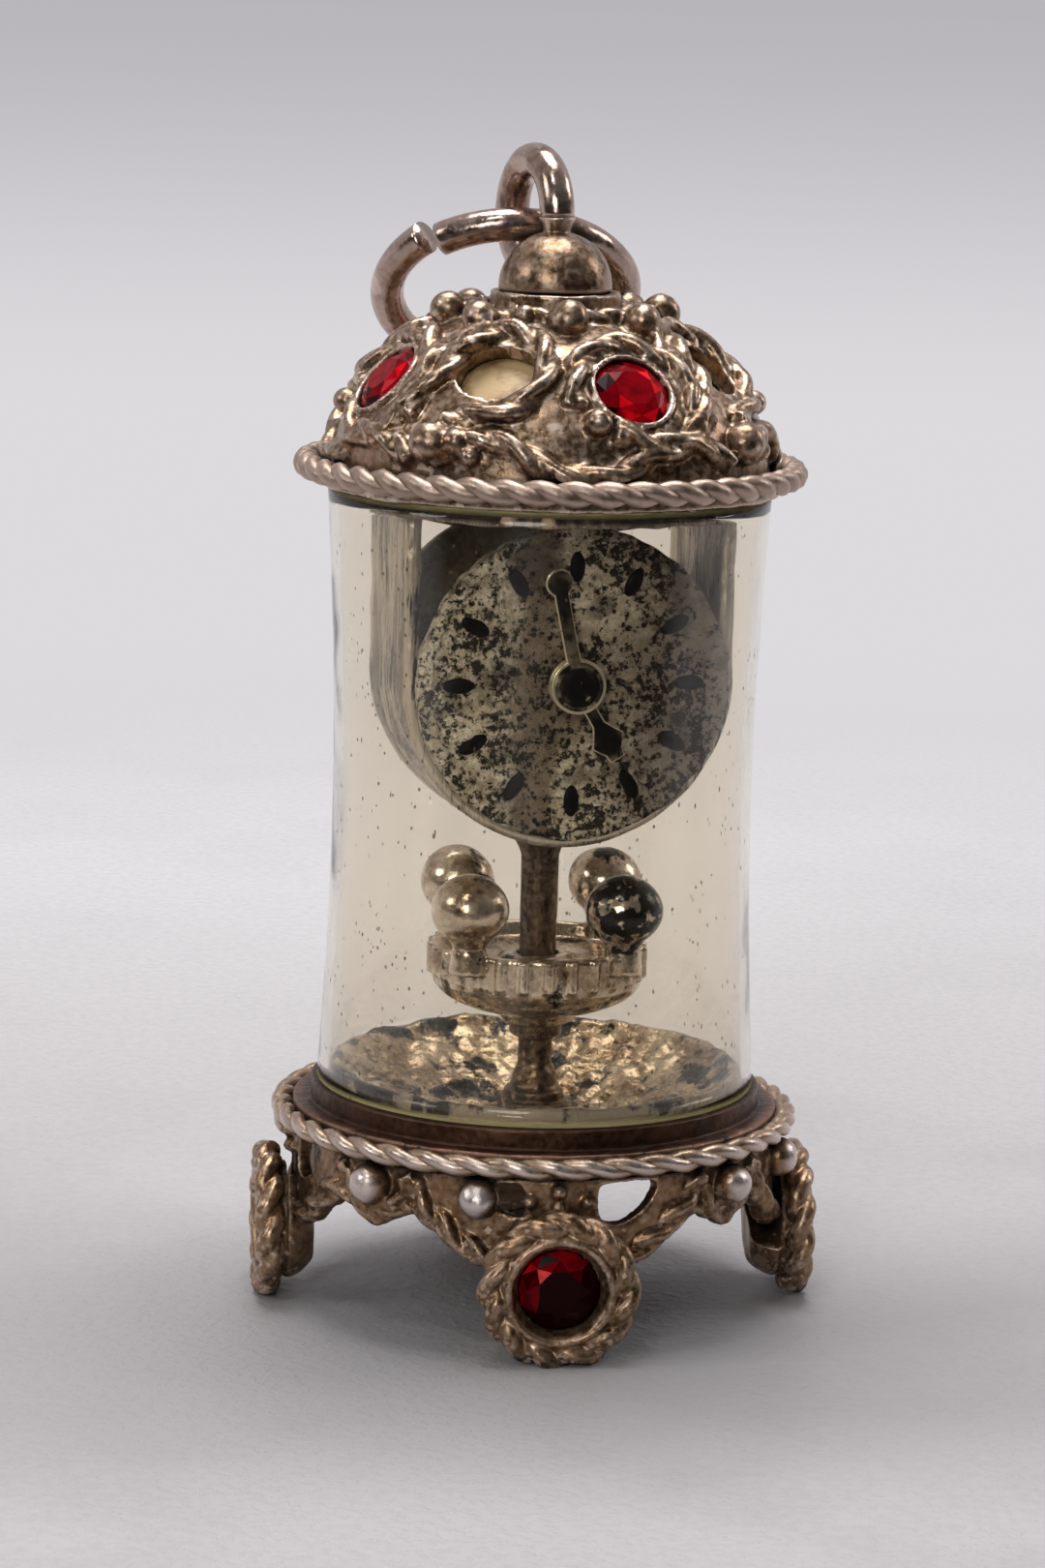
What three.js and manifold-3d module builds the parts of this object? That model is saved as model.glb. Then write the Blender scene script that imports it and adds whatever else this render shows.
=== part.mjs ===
// A silver charm in the form of an anniversary clock under a clear tube, about 30 mm tall.
// Millimetres, +Z up, the dial towards -Y. The origin is on the ground, in the middle of the four feet.
// Angles round the charm are in degrees, from the front (-Y) towards the right (+X).
import * as THREE from "three";
import { mergeVertices } from "three/addons/utils/BufferGeometryUtils.js";
import Module from "manifold-3d";

// Clearances
const seatGap = 0.03; // between two pieces that are soldered, glued or set together
const runningGap = 0.06; // round a shaft that turns
const ringGap = 0.08; // between the jump ring and what it leans on

// Feet: round medallions that stand on edge
const footRadius = 2.04;
const footWear = 0.15; // the flat worn on the lowest point
const footRopeRadius = 0.37;
const footRopeBack = 0.12; // how far the rope stands off the foot's back
const footPocketFloor = 0.1;
const footStoneRadius = 1.0;
const bezelWall = 0.18;
const stoneDepth = 0.3; // of a stone's crown and of its cone, over its radius
const bezelDepth = 0.82; // from the foot's back to the bezel's lip
const footBowlRadius = 1.6; // of the bowl behind the foot, which is cut off under the gallery
const footBowlDepth = 0.7;
const footBowlTaper = 0.72; // the bowl's inner radius over its outer one

// Gallery: the pierced skirt between the feet
const galleryHeight = 4.5;
const galleryOverhang = 0.05; // its top edge stands this far outside the flange
const galleryFlare = 0.15; // how much wider it is at the ground
const galleryWall = 0.38;
const galleryWireRadius = 0.3;
const galleryWireSunk = 0.1; // the wires' centre lines lie this far inside the outer face
const galleryBeadRadius = 0.5;

// Base plate
const flangeMargin = 0.37; // the flange shows this far outside the step
const flangeThickness = 0.6;
const tubeStepHeight = 0.52; // the tube stands this far above the flange
const tubeStepMargin = 0.16; // the step shows this far outside the tube
const panDepth = 1.05; // from the top of the step down to the middle of the inner floor
const panMiddle = 2.2; // radius of the floor's level middle
const panRise = 1.2; // how far the rough floor rises from its middle to the ring
const panWall = 0.4;
const plateCollarHeight = 0.55; // the ring inside the tube's foot
const collarWall = 0.3;

// Rope rims of the base and of the lid
const baseRopeRadius = 0.33;
const lidRopeRadius = 0.33;
const ropePitch = 1.0; // from one strand to the next
const ropeFlatness = 0.74; // the rope's narrow side over its wide side

// Clear tube
const tubeHeight = 15.25;
const tubeRadius = 5.62; // outer, at both ends
const tubeWaist = 0.27; // how far it draws in at mid height
const tubeWall = 0.25;

// Lid
const lidFlangeThickness = 0.5;
const lidFlangeOverhang = 0.2; // the flange shows this far outside the tube
const lidDomeInset = 0.3; // of the dome's foot from the flange's edge
const lidDomeRise = 4.2;
const lidWall = 0.45;
const lidSpigotHeight = 0.45;
const lidTurn = 19; // the lid is soldered on at this angle to the base
const lidStoneRadius = 0.94;
const lidCupHeight = 0.34; // how far a stone's cup stands off the dome
const lidStoneHeightAngle = 34; // on the dome's quarter ellipse, 0 at the rim and 90 at the top
const lidWireRadius = 0.27;
const lidBeadRadius = 0.48;
const lidWindowWidth = 2.0;
const lidWindowHeight = 1.75;
const lidWindowHeightAngle = 41; // on the same quarter ellipse
const lidBossRadius = 1.65;
const lidBossHeight = 0.22;

// Finial, bail and jump ring
const finialRadius = 1.42;
const finialHeight = 1.5;
const finialRimHeight = 0.12; // of its straight foot
const finialNeckRadius = 0.47;
const finialNeckHeight = 0.32;
const bailWireRadius = 0.47;
const bailRadius = 1.34; // to the wire's centre line
const bailSweep = 262; // how far round it goes from the neck
const jumpWireRadius = 0.43;
const jumpRadius = 3.07; // to the wire's centre line
const jumpCut = 0.5; // the open cut between its ends
const jumpCutAngle = 42; // from the top of the ring
const jumpSpring = 0.3; // how far its ends have sprung apart sideways
const jumpSlip = -0.45; // how far it has slipped sideways in the bail
const jumpDrop = 0.2; // its wire lies this far below the middle of the bail

// Dial and its cradle
const dialTurn = 9.3;
const dialDrop = 4.25; // its centre below the plate that the cradle hangs from
const dialRadius = 3.95;
const dialThickness = 0.42;
const dialMarkLength = 0.8;
const dialMarkWidth = 0.36;
const dialMarkDepth = 0.16;
const dialMarkCircle = 2.95;
const dialRimWidth = 0.3;
const dialRimHeight = 0.08;
const cradleRadius = 4.2;
const cradleDepth = 4.25;
const cradleWall = 0.34;
const cradleTopThickness = 0.35;
const dialFace = 2.78; // from the charm's axis to the dial's face
const backThickness = 0.3;
const arborRadius = 0.24;
const arborHeadRadius = 0.52;
const arborHeadHeight = 0.16;
const arborTailRadius = 0.4;
const arborTailHeight = 0.14;
const handHubRadius = 0.7;
const handThickness = 0.16;
const minuteHandReach = 3.0;
const minuteHandWidth = 0.32;
const minuteTipRadius = 0.34;
const hourHandReach = 2.2;
const hourHandWidth = 0.9;
const minuteHandAngle = 348; // clockwise from twelve
const hourHandAngle = 149;

// Pendulum, its post and its pedestal
const postRadius = 0.48;
const postFlareRadius = 0.85;
const postFlareHeight = 0.6;
const pendulumRadius = 2.85;
const pendulumBand = 0.85; // height of its ribbed side
const pendulumBowl = 0.9; // depth of its rounded underside
const pendulumHubRadius = 0.9;
const pendulumHubHeight = 0.34;
const pendulumRibs = 28;
const pendulumRibDepth = 0.14;
const ballRadius = 0.98;
const ballCircle = 2.75;
const ballNeckRadius = 0.48;
const ballNeckHeight = 0.2; // clear height between the disc and the ball
const pedestalHeight = 2.5;
const pedestalStemRadius = 0.44;
const pedestalTopRadius = 0.68;
const pedestalFootWidth = 1.7;
const pedestalFootHeight = 0.45;
const pedestalConeRadius = 0.78;
const pedestalConeHeight = 1.15;
const pedestalRingHeight = 0.3;

// Facets
const around = 30; // round the tube, the plate and the lid
const small = 16; // round a small piece
const wireStep = 1.35; // length of a facet along a thin wire
const lidFacets = 24; // round the lid's dome

// What follows from the sizes above
const footCentre = footRadius - footWear;
const flangeBottom = galleryHeight + seatGap;
const flangeTop = flangeBottom + flangeThickness;
const tubeStep = flangeTop + tubeStepHeight;
const tubeBottom = tubeStep + seatGap;
const tubeTop = tubeBottom + tubeHeight;
const tubeInnerRadius = tubeRadius - tubeWall;
const facetShrink = Math.cos(Math.PI / around); // a facet's middle is this much nearer the axis
const collarRadius = tubeInnerRadius * facetShrink - seatGap;
const panFloor = tubeStep - panDepth;
const stepRadius = tubeRadius + tubeStepMargin;
const flangeRadius = stepRadius + flangeMargin;
const galleryRadius = flangeRadius + galleryOverhang; // outer face at its top edge
const baseRopeCircle = flangeRadius + baseRopeRadius + seatGap;
const baseRopeHeight = galleryHeight + seatGap + baseRopeRadius;
const lidBottom = tubeTop + seatGap;
const lidFlangeRadius = tubeRadius + lidFlangeOverhang;
const domeFoot = lidBottom + lidFlangeThickness;
const domeRadius = lidFlangeRadius - lidDomeInset;
const domeTop = domeFoot + lidDomeRise;
const lidRopeCircle = lidFlangeRadius + lidRopeRadius + seatGap;
const lidRopeHeight = lidBottom + lidFlangeThickness;
const spigotInner = collarRadius - collarWall;
const bossTop = domeTop + lidBossHeight;
const finialBottom = bossTop + seatGap;
const neckTop = finialBottom + finialHeight + finialNeckHeight;
const bailCentre = new THREE.Vector3(0, bailRadius, neckTop + seatGap);
const cradleTop = lidBottom - seatGap;
const dialCentre = cradleTop - cradleTopThickness - dialDrop;
const cradleFront = -dialFace + dialThickness + seatGap;
const cradleBack = cradleFront + cradleDepth;
const pedestalTop = panFloor + seatGap + pedestalHeight;
const postTop = dialCentre - cradleRadius - seatGap;
const pendulumBottom = pedestalTop + seatGap;
const pendulumTop = pendulumBottom + pendulumHubHeight + pendulumBowl + pendulumBand;
const ballCentre = pendulumTop + ballNeckHeight + ballRadius;

const wasm = await Module();
wasm.setup();

const radians = (degrees) => THREE.MathUtils.degToRad(degrees);

// A point at an angle round the charm, a distance from its axis and a height.
function atAngle(angle, distance, height) {
  return new THREE.Vector3(distance * Math.sin(radians(angle)), -distance * Math.cos(radians(angle)), height);
}

// A closed geometry as a solid, its faces turned outwards.
function solid(geometry) {
  const bare = geometry.index ? geometry.toNonIndexed() : geometry.clone();
  bare.deleteAttribute("normal");
  bare.deleteAttribute("uv");
  const merged = mergeVertices(bare, 1e-4);
  const make = (triVerts) =>
    new wasm.Manifold(
      new wasm.Mesh({ numProp: 3, vertProperties: merged.attributes.position.array, triVerts }),
    );
  const made = make(new Uint32Array(merged.index.array));
  return made.volume() < 0 ? make(new Uint32Array(merged.index.array).reverse()) : made;
}

// A solid as a geometry.
function geometryOf(made) {
  const mesh = made.getMesh();
  const geometry = new THREE.BufferGeometry();
  geometry.setAttribute("position", new THREE.BufferAttribute(new Float32Array(mesh.vertProperties), 3));
  geometry.setIndex(new THREE.BufferAttribute(new Uint32Array(mesh.triVerts), 1));
  return geometry;
}

// One solid from several overlapping geometries.
const join = (geometries) => geometries.map(solid).reduce((whole, piece) => whole.add(piece));

// What is left of a solid when each of the geometries is cut out of it.
const cut = (whole, geometries) => geometries.map(solid).reduce((left, piece) => left.subtract(piece), whole);

// A solid skin over a row of rings, which have the same number of points each.
function loft(rings, closed = false) {
  const sides = rings[0].length;
  const positions = rings.flat().flatMap((point) => point.toArray());
  const index = [];
  const rows = closed ? rings.length : rings.length - 1;
  for (let row = 0; row < rows; row++) {
    const next = (row + 1) % rings.length;
    for (let side = 0; side < sides; side++) {
      const [a, b] = [row * sides + side, row * sides + ((side + 1) % sides)];
      const [c, d] = [next * sides + side, next * sides + ((side + 1) % sides)];
      index.push(a, b, c, b, d, c);
    }
  }
  if (!closed) {
    const last = (rings.length - 1) * sides;
    for (let side = 1; side < sides - 1; side++) {
      index.push(0, side + 1, side, last, last + side, last + side + 1);
    }
  }
  const geometry = new THREE.BufferGeometry();
  geometry.setAttribute("position", new THREE.BufferAttribute(new Float32Array(positions), 3));
  geometry.setIndex(index);
  return geometry;
}

// A two-strand rope along a curve: a flattened section that turns as it goes, half a turn for each strand
// that shows.
function rope(curve, radius, closed = false) {
  const strands = Math.max(2, 2 * Math.round(curve.getLength() / ropePitch / 2));
  const steps = 3 * strands;
  const frames = curve.computeFrenetFrames(steps, closed);
  const rings = [];
  for (let step = 0; step < (closed ? steps : steps + 1); step++) {
    const centre = curve.getPointAt(step / steps);
    const turn = (Math.PI * strands * step) / steps;
    rings.push(
      [0, 1, 2, 3].map((corner) => {
        const angle = turn + (corner * Math.PI) / 2;
        const reach = radius * (corner % 2 ? ropeFlatness : 1);
        return centre
          .clone()
          .addScaledVector(frames.normals[step], reach * Math.cos(angle))
          .addScaledVector(frames.binormals[step], reach * Math.sin(angle));
      }),
    );
  }
  return loft(rings, closed);
}

// A rope laid in a level circle.
function ropeRing(circle, radius, height) {
  const points = [];
  for (let step = 0; step < 24; step++) points.push(atAngle(step * 15, circle, height));
  return rope(new THREE.CatmullRomCurve3(points, true), radius, true);
}

// A plain round wire along a curve.
function wire(curve, radius, steps, sides = 8) {
  const section = new THREE.Shape();
  section.absarc(0, 0, radius, 0, 2 * Math.PI);
  const outline = new THREE.Shape(section.getSpacedPoints(sides).slice(0, sides));
  return new THREE.ExtrudeGeometry(outline, { steps, extrudePath: curve, bevelEnabled: false });
}

// A thin wire through points, with few faces.
function thinWire(points, radius) {
  const curve = new THREE.CatmullRomCurve3(points);
  return wire(curve, radius, Math.ceil(curve.getLength() / wireStep), 4);
}

// Part of a circle in space, from its first direction towards its second, which springs sideways as it goes.
class Arc extends THREE.Curve {
  constructor(centre, radius, from, to, first, second, spring = 0) {
    super();
    Object.assign(this, { centre, radius, from, to, first, second, spring });
    this.sideways = first.clone().cross(second);
  }
  getPoint(t, target = new THREE.Vector3()) {
    const angle = radians(this.from + (this.to - this.from) * t);
    return target
      .copy(this.centre)
      .addScaledVector(this.first, this.radius * Math.cos(angle))
      .addScaledVector(this.second, this.radius * Math.sin(angle))
      .addScaledVector(this.sideways, this.spring * (t - 0.5));
  }
}

// A turned piece on the Z axis from [radius, height] pairs, and the same as a geometry moved up.
function turned(profile, sides = around) {
  const points = profile.map(([radius, height]) => new THREE.Vector2(radius, height));
  return new THREE.LatheGeometry(points, sides).rotateX(Math.PI / 2);
}

const ball = (radius, centre, sides = 6, rows = 4) =>
  new THREE.SphereGeometry(radius, sides, rows).translate(centre.x, centre.y, centre.z);

// A set stone: a flat table, a crown with eight facets and a shallow cone below. Its girdle is at height 0.
function stone(radius) {
  const profile = [
    [0, -stoneDepth * radius],
    [radius, 0],
    [radius, 0.08 * radius],
    [0.56 * radius, stoneDepth * radius],
    [0, stoneDepth * radius],
  ];
  return turned(profile, 8);
}

// Metals, the tube and the stones
const finish = (color, roughness, metalness, more = {}) =>
  new THREE.MeshStandardMaterial({ color, roughness, metalness, ...more });
const lidSilver = finish(0xb09a80, 0.42, 0.9);
const baseSilver = finish(0xa48878, 0.45, 0.9);
const copperFlush = finish(0x80604f, 0.5, 0.85);
const brightWire = finish(0xb4a294, 0.25, 0.95);
const greySilver = finish(0x8c877c, 0.55, 0.85);
const blackEnamel = finish(0x14130f, 0.4, 0.1);
const clearTube = finish(0xe6ddb4, 0.12, 0, { transparent: true, opacity: 0.3 });
const redGlass = finish(0xa00818, 0.08, 0);

const charm = new THREE.Group();
const lidGroup = new THREE.Group();
const dialGroup = new THREE.Group();
lidGroup.rotation.z = radians(lidTurn);
dialGroup.rotation.z = radians(dialTurn);
charm.add(lidGroup, dialGroup);

function addPiece(group, name, shape, material) {
  const geometry = shape.isBufferGeometry ? shape : geometryOf(shape);
  const piece = new THREE.Mesh(geometry, material);
  piece.name = name;
  group.add(piece);
  return piece;
}

// The base plate: a flat flange, the step that the tube stands on, a ring inside the tube and a dished floor.
function basePlate() {
  const collarTop = tubeStep + plateCollarHeight;
  return turned([
    [0, panFloor - panWall],
    [stepRadius - panWall, panFloor - panWall],
    [stepRadius - panWall, flangeBottom],
    [flangeRadius, flangeBottom],
    [flangeRadius, flangeTop],
    [stepRadius, flangeTop],
    [stepRadius, tubeStep],
    [collarRadius, tubeStep],
    [collarRadius, collarTop],
    [collarRadius - collarWall, collarTop],
    [collarRadius - collarWall, panFloor + panRise],
    [panMiddle, panFloor],
    [0, panFloor],
  ]);
}

// Routes on the gallery are [angle, share] pairs: degrees from a foot and the share of the gallery's height.
// This one is its scalloped lower edge, from a foot to halfway to the next.
const galleryEdge = new THREE.SplineCurve(
  [[0, 0.433], [12, 0.456], [20, 0.522], [29, 0.667], [35, 0.756], [40, 0.689], [45, 0.633]].map(
    ([angle, share]) => new THREE.Vector2(angle, share * galleryHeight),
  ),
);
const galleryLow = galleryEdge.points[0].y; // the lowest height of the edge, at a foot
function galleryEdgeHeight(fromFoot) {
  const samples = galleryEdge.getPoints(60);
  const next = Math.max(1, samples.findIndex((sample) => sample.x >= fromFoot));
  const [low, high] = [samples[next - 1], samples[next]];
  return THREE.MathUtils.mapLinear(fromFoot, low.x, high.x, low.y, high.y);
}

// A point on the gallery's outer face, moved out by a lift.
const onGallery = (angle, height, lift = 0) =>
  atAngle(angle, galleryRadius + galleryFlare * (1 - height / galleryHeight) + lift, height);

// One of the four gallery panels, which reach from the middle of one foot to the middle of the next.
function galleryPanel() {
  const endAngle = THREE.MathUtils.radToDeg(seatGap / galleryRadius) / 2;
  const steps = 15;
  const rings = [];
  for (let step = 0; step <= steps; step++) {
    const angle = endAngle + ((90 - 2 * endAngle) * step) / steps;
    const low = galleryEdgeHeight(Math.min(angle, 90 - angle));
    rings.push([
      onGallery(angle, low),
      onGallery(angle, galleryHeight),
      onGallery(angle, galleryHeight, -galleryWall),
      onGallery(angle, low, -galleryWall),
    ]);
  }
  const laid = (route, lift, side = 1) =>
    route.map(([angle, share]) => onGallery(side > 0 ? angle : 90 - angle, share * galleryHeight, lift));
  const wideWindow = [
    [9.5, 0.800], [9.5, 0.956], [12, 0.982], [22, 0.982], [24, 0.933], [21, 0.833], [16, 0.760],
  ];
  // The window on a foot's other side is narrower, and a bead stands beside it
  const narrowWindow = [
    [7.5, 0.8], [7.5, 0.933], [9, 0.969], [13, 0.969], [15.5, 0.933], [14.5, 0.833], [11, 0.8],
  ];
  const arm = [[37, 0.956], [31, 0.811], [24, 0.656], [18, 0.578], [13, 0.544]];
  const festoon = [[37.5, 0.833], [39.5, 0.744], [45, 0.700], [50.5, 0.744], [52.5, 0.833]];
  const windows = [[wideWindow, 1], [narrowWindow, -1]].map(([route, side]) =>
    loft([-2 * galleryWall, galleryWall].map((lift) => laid(route, lift, side))),
  );
  const arms = [1, -1].map((side) => thinWire(laid(arm, -galleryWireSunk, side), galleryWireRadius));
  const swag = thinWire(laid(festoon, -galleryWireSunk), galleryWireRadius * 0.85);
  const beads = laid([[45, 0.889], [72, 0.893]], galleryBeadRadius * 0.45).map((centre) =>
    ball(galleryBeadRadius, centre),
  );
  const wide = 4 * galleryRadius;
  const overTop = new THREE.BoxGeometry(wide, wide, wide).translate(0, 0, galleryHeight + wide / 2);
  return cut(cut(solid(loft(rings)), windows).add(join([...arms, swag, ...beads])), [overTop]);
}

// A foot, made lying down with its face up: a ring of rope round a bezel that holds the stone, and behind it
// half of a bowl that fits under the gallery.
function foot() {
  const ropeCircle = footRadius - footRopeRadius;
  const bezelInner = footStoneRadius + seatGap;
  const bezelOuter = Math.max(bezelInner + bezelWall, ropeCircle - 0.6 * footRopeRadius);
  const points = [];
  for (let step = 0; step < 12; step++) {
    points.push(atAngle(step * 30 + 7, ropeCircle, footRopeBack + footRopeRadius));
  }
  // The bowl closes inside the bezel, under the rope
  const bowlTop = 0.8 * footRopeBack;
  const bowl = turned(
    [
      [0, -footBowlDepth],
      [footBowlTaper * footBowlRadius, -footBowlDepth],
      [footBowlRadius, 0],
      [0.9 * bezelOuter, bowlTop],
      [0, bowlTop],
    ],
    small,
  );
  const underGallery = galleryLow - seatGap - footCentre;
  const wide = 4 * footRadius;
  const upperHalf = new THREE.BoxGeometry(wide, wide, wide).translate(0, underGallery + wide / 2, 0);
  const body = join([
    turned([[0, 0], [bezelOuter, 0], [bezelOuter, bezelDepth], [0, bezelDepth]], small),
    rope(new THREE.CatmullRomCurve3(points, true), footRopeRadius, true),
  ]).add(cut(solid(bowl), [upperHalf]));
  const pocket = turned(
    [[0, footPocketFloor], [bezelInner, footPocketFloor], [bezelInner, bezelDepth + 1], [0, bezelDepth + 1]],
    small,
  );
  const ground = new THREE.BoxGeometry(wide, wide, wide).translate(0, -footCentre - wide / 2, 0);
  return geometryOf(cut(body, [pocket, ground]));
}

// The clear tube, drawn in a little at mid height.
function tube() {
  const levels = 4;
  const outer = [];
  for (let level = 0; level <= levels; level++) {
    const t = level / levels;
    outer.push([tubeRadius - tubeWaist * Math.sin(Math.PI * t), tubeBottom + tubeHeight * t]);
  }
  const inner = outer.map(([radius, height]) => [radius - tubeWall, height]).reverse();
  return turned([...outer, ...inner, outer[0]]);
}

// A point on the lid's dome, at a height angle from its rim to its top, moved out square to the surface.
function onDome(angle, heightAngle, lift = 0) {
  const [across, up] = [Math.cos(radians(heightAngle)), Math.sin(radians(heightAngle))];
  const normal = new THREE.Vector2(across / domeRadius, up / lidDomeRise).normalize();
  return atAngle(
    angle,
    domeRadius * across + normal.x * lift,
    domeFoot + lidDomeRise * up + normal.y * lift,
  );
}

// Places a geometry made lying down with its face up on the dome, its face square to the surface.
function setOnDome(geometry, angle, heightAngle, lift = 0) {
  const foot = onDome(angle, heightAngle);
  const outward = onDome(angle, heightAngle, 1).sub(foot);
  const across = atAngle(angle + 90, 1, 0);
  const upward = outward.clone().cross(across);
  const turn = new THREE.Matrix4().makeBasis(across, upward, outward);
  const place = onDome(angle, heightAngle, lift);
  return geometry.clone().applyMatrix4(turn.setPosition(place.x, place.y, place.z));
}

// The lid: a hollow dome with four windows, four stone cups, scrolls of rope and beads, on a flat flange.
const lidCupDepth = stoneDepth * lidStoneRadius + seatGap;
function lid() {
  const arcSteps = 5;
  const dome = (profile) => turned(profile, lidFacets);
  const outer = [];
  const inner = [];
  for (let step = 0; step <= arcSteps; step++) {
    const angle = (90 * step) / arcSteps;
    const [across, up] = [Math.cos(radians(angle)), Math.sin(radians(angle))];
    outer.push([domeRadius * across, domeFoot + lidDomeRise * up]);
    inner.push([(domeRadius - lidWall) * across, domeFoot + (lidDomeRise - lidWall) * up]);
  }
  const shell = dome([
    [lidFlangeRadius, lidBottom],
    [lidFlangeRadius, domeFoot],
    ...outer,
    ...inner.reverse(),
    [spigotInner, domeFoot],
    [spigotInner, lidBottom - lidSpigotHeight],
    [collarRadius, lidBottom - lidSpigotHeight],
    [collarRadius, lidBottom],
    [lidFlangeRadius, lidBottom],
  ]);
  const bossFoot = domeTop - 0.8 * lidWall;
  const boss = turned(
    [[0, bossFoot], [lidBossRadius, bossFoot], [lidBossRadius, bossTop], [0, bossTop]],
    small,
  );
  const added = [boss];
  const removed = [];
  for (const quarter of [0, 90, 180, 270]) {
    const track = (route, lift, radius = lidWireRadius) => {
      const points = route.map(([angle, height]) => onDome(quarter + angle, height, lift));
      added.push(thinWire(points, radius));
    };
    const sunk = lidWireRadius * 0.35;
    // The scroll that runs over the stone and hooks under it
    track([[-19, 28], [-17, 43], [-4, 52], [11, 49], [21, 38], [21, 25], [13, 16], [2, 15], [-8, 20]], sunk);
    // The arch over the window, down to the rim beside it
    track(
      [[-69, 22], [-63, 36], [-60, 49], [-47, 58], [-34, 55], [-27, 43], [-32, 30], [-43, 24], [-56, 22]],
      sunk,
    );
    // The wave above the rim
    track([[-56, 8], [-46, 16], [-35, 14], [-25, 6], [-10, 5], [3, 12], [16, 14], [27, 7]], sunk * 0.5);
    for (const [angle, height] of [[-18, 62], [24, 60], [33, 13]]) {
      added.push(ball(lidBeadRadius, onDome(quarter + angle, height, lidBeadRadius * 0.5)));
    }
    const cup = turned(
      [
        [0, -lidWall],
        [lidStoneRadius + bezelWall, -lidWall],
        [lidStoneRadius + bezelWall, lidCupHeight],
        [0, lidCupHeight],
      ],
      small,
    );
    added.push(setOnDome(cup, quarter, lidStoneHeightAngle));
    const pocket = turned(
      [
        [0, -lidCupDepth],
        [lidStoneRadius + seatGap, -lidCupDepth],
        [lidStoneRadius + seatGap, 2 * lidStoneRadius],
        [0, 2 * lidStoneRadius],
      ],
      small,
    );
    removed.push(setOnDome(pocket, quarter, lidStoneHeightAngle));
    const opening = new THREE.CylinderGeometry(1, 1, 3, 12).rotateX(Math.PI / 2);
    opening.scale(lidWindowWidth / 2, lidWindowHeight / 2, 1);
    removed.push(setOnDome(opening, quarter - 45, lidWindowHeightAngle));
  }
  return cut(added.map(solid).reduce((whole, piece) => whole.add(piece), solid(shell)), removed);
}

// The finial, half a bead with a short neck on which the bail stands.
function finial() {
  const profile = [[0, finialBottom], [finialRadius, finialBottom]];
  const steps = 5;
  for (let step = 0; step < steps; step++) {
    const angle = (Math.PI / 2) * (step / steps);
    profile.push([
      finialRadius * Math.cos(angle),
      finialBottom + finialRimHeight + (finialHeight - finialRimHeight) * Math.sin(angle),
    ]);
  }
  profile.push([finialNeckRadius, finialBottom + finialHeight]);
  profile.push([finialNeckRadius, neckTop], [0, neckTop]);
  return turned(profile, 18);
}

// The bail: a hook of round wire from the neck, over the top and down behind the finial.
function bail() {
  const away = new THREE.Vector3(0, -1, 0);
  const up = new THREE.Vector3(0, 0, 1);
  const curve = new Arc(bailCentre, bailRadius, 0, bailSweep, away, up);
  return wire(curve, bailWireRadius, 16);
}

// Where the jump ring's wire passes through the bail.
const ringHinge = atAngle(lidTurn + 180, bailRadius, bailCentre.z - jumpDrop);

// The direction from the hinge to the ring's middle, at a lean from straight down towards the back.
const ringDown = (lean) => new THREE.Vector3(0, Math.sin(radians(lean)), -Math.cos(radians(lean)));

// The ring's centre line at a lean, as an arc that starts and ends at its open cut.
function ringCurve(lean) {
  const down = ringDown(lean);
  const centre = ringHinge.clone().addScaledVector(down, jumpRadius);
  centre.x += jumpSlip;
  const halfCut = THREE.MathUtils.radToDeg(jumpCut / jumpRadius) / 2;
  const left = new THREE.Vector3(-1, 0, 0);
  const top = down.clone().negate();
  const cutAt = 90 - jumpCutAngle;
  return new Arc(centre, jumpRadius, cutAt + halfCut, cutAt + 360 - halfCut, left, top, jumpSpring);
}

// Whether the ring at a lean stays clear of the dome and the scrolls on it.
function ringIsClear(lean) {
  const reach = jumpWireRadius + lidWireRadius * 1.35 + ringGap;
  return ringCurve(lean)
    .getPoints(72)
    .every((point) => {
      const out = Math.hypot(point.x, point.y) / (domeRadius + reach);
      const up = (point.z - domeFoot) / (lidDomeRise + reach);
      return Math.hypot(out, up) > 1;
    });
}

// The ring lies back on the dome: the least lean at which it is clear.
let ringRest = 90;
while (ringIsClear(ringRest - 0.25)) ringRest -= 0.25;

// Stands a piece made lying down with its face up on the dial's centre line, its face towards -Y.
const standing = (geometry, back) => geometry.rotateX(Math.PI / 2).translate(0, back, dialCentre);

// A flat ring from height 0, on the Z axis.
const washer = (inner, outer, height, sides = 24) =>
  turned([[inner, 0], [outer, 0], [outer, height], [inner, height], [inner, 0]], sides);

// A flat piece from its outline.
const sheet = (outline, depth, curveSegments = 12) =>
  new THREE.ExtrudeGeometry(outline, { depth, bevelEnabled: false, curveSegments });

// The dial: a round plate with a low rim, twelve sunk marks and a hole for the arbor.
const dialBack = -dialFace + dialThickness;
const dialFloor = dialThickness - dialRimHeight;
function dial() {
  const bore = arborRadius + seatGap;
  const plate = turned([
    [bore, 0],
    [dialRadius, 0],
    [dialRadius, dialThickness],
    [dialRadius - dialRimWidth, dialThickness],
    [dialRadius - dialRimWidth - dialRimHeight, dialFloor],
    [bore, dialFloor],
    [bore, 0],
  ]);
  const marks = [];
  for (let hour = 0; hour < 12; hour++) {
    const mark = new THREE.CapsuleGeometry(dialMarkWidth / 2, dialMarkLength - dialMarkWidth, 1, 6);
    mark.scale(1, 1, (2 * dialMarkDepth) / dialMarkWidth);
    marks.push(mark.translate(0, dialMarkCircle, dialFloor).rotateZ(radians(-30 * hour)));
  }
  return standing(geometryOf(cut(solid(plate), marks)), dialBack);
}

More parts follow.
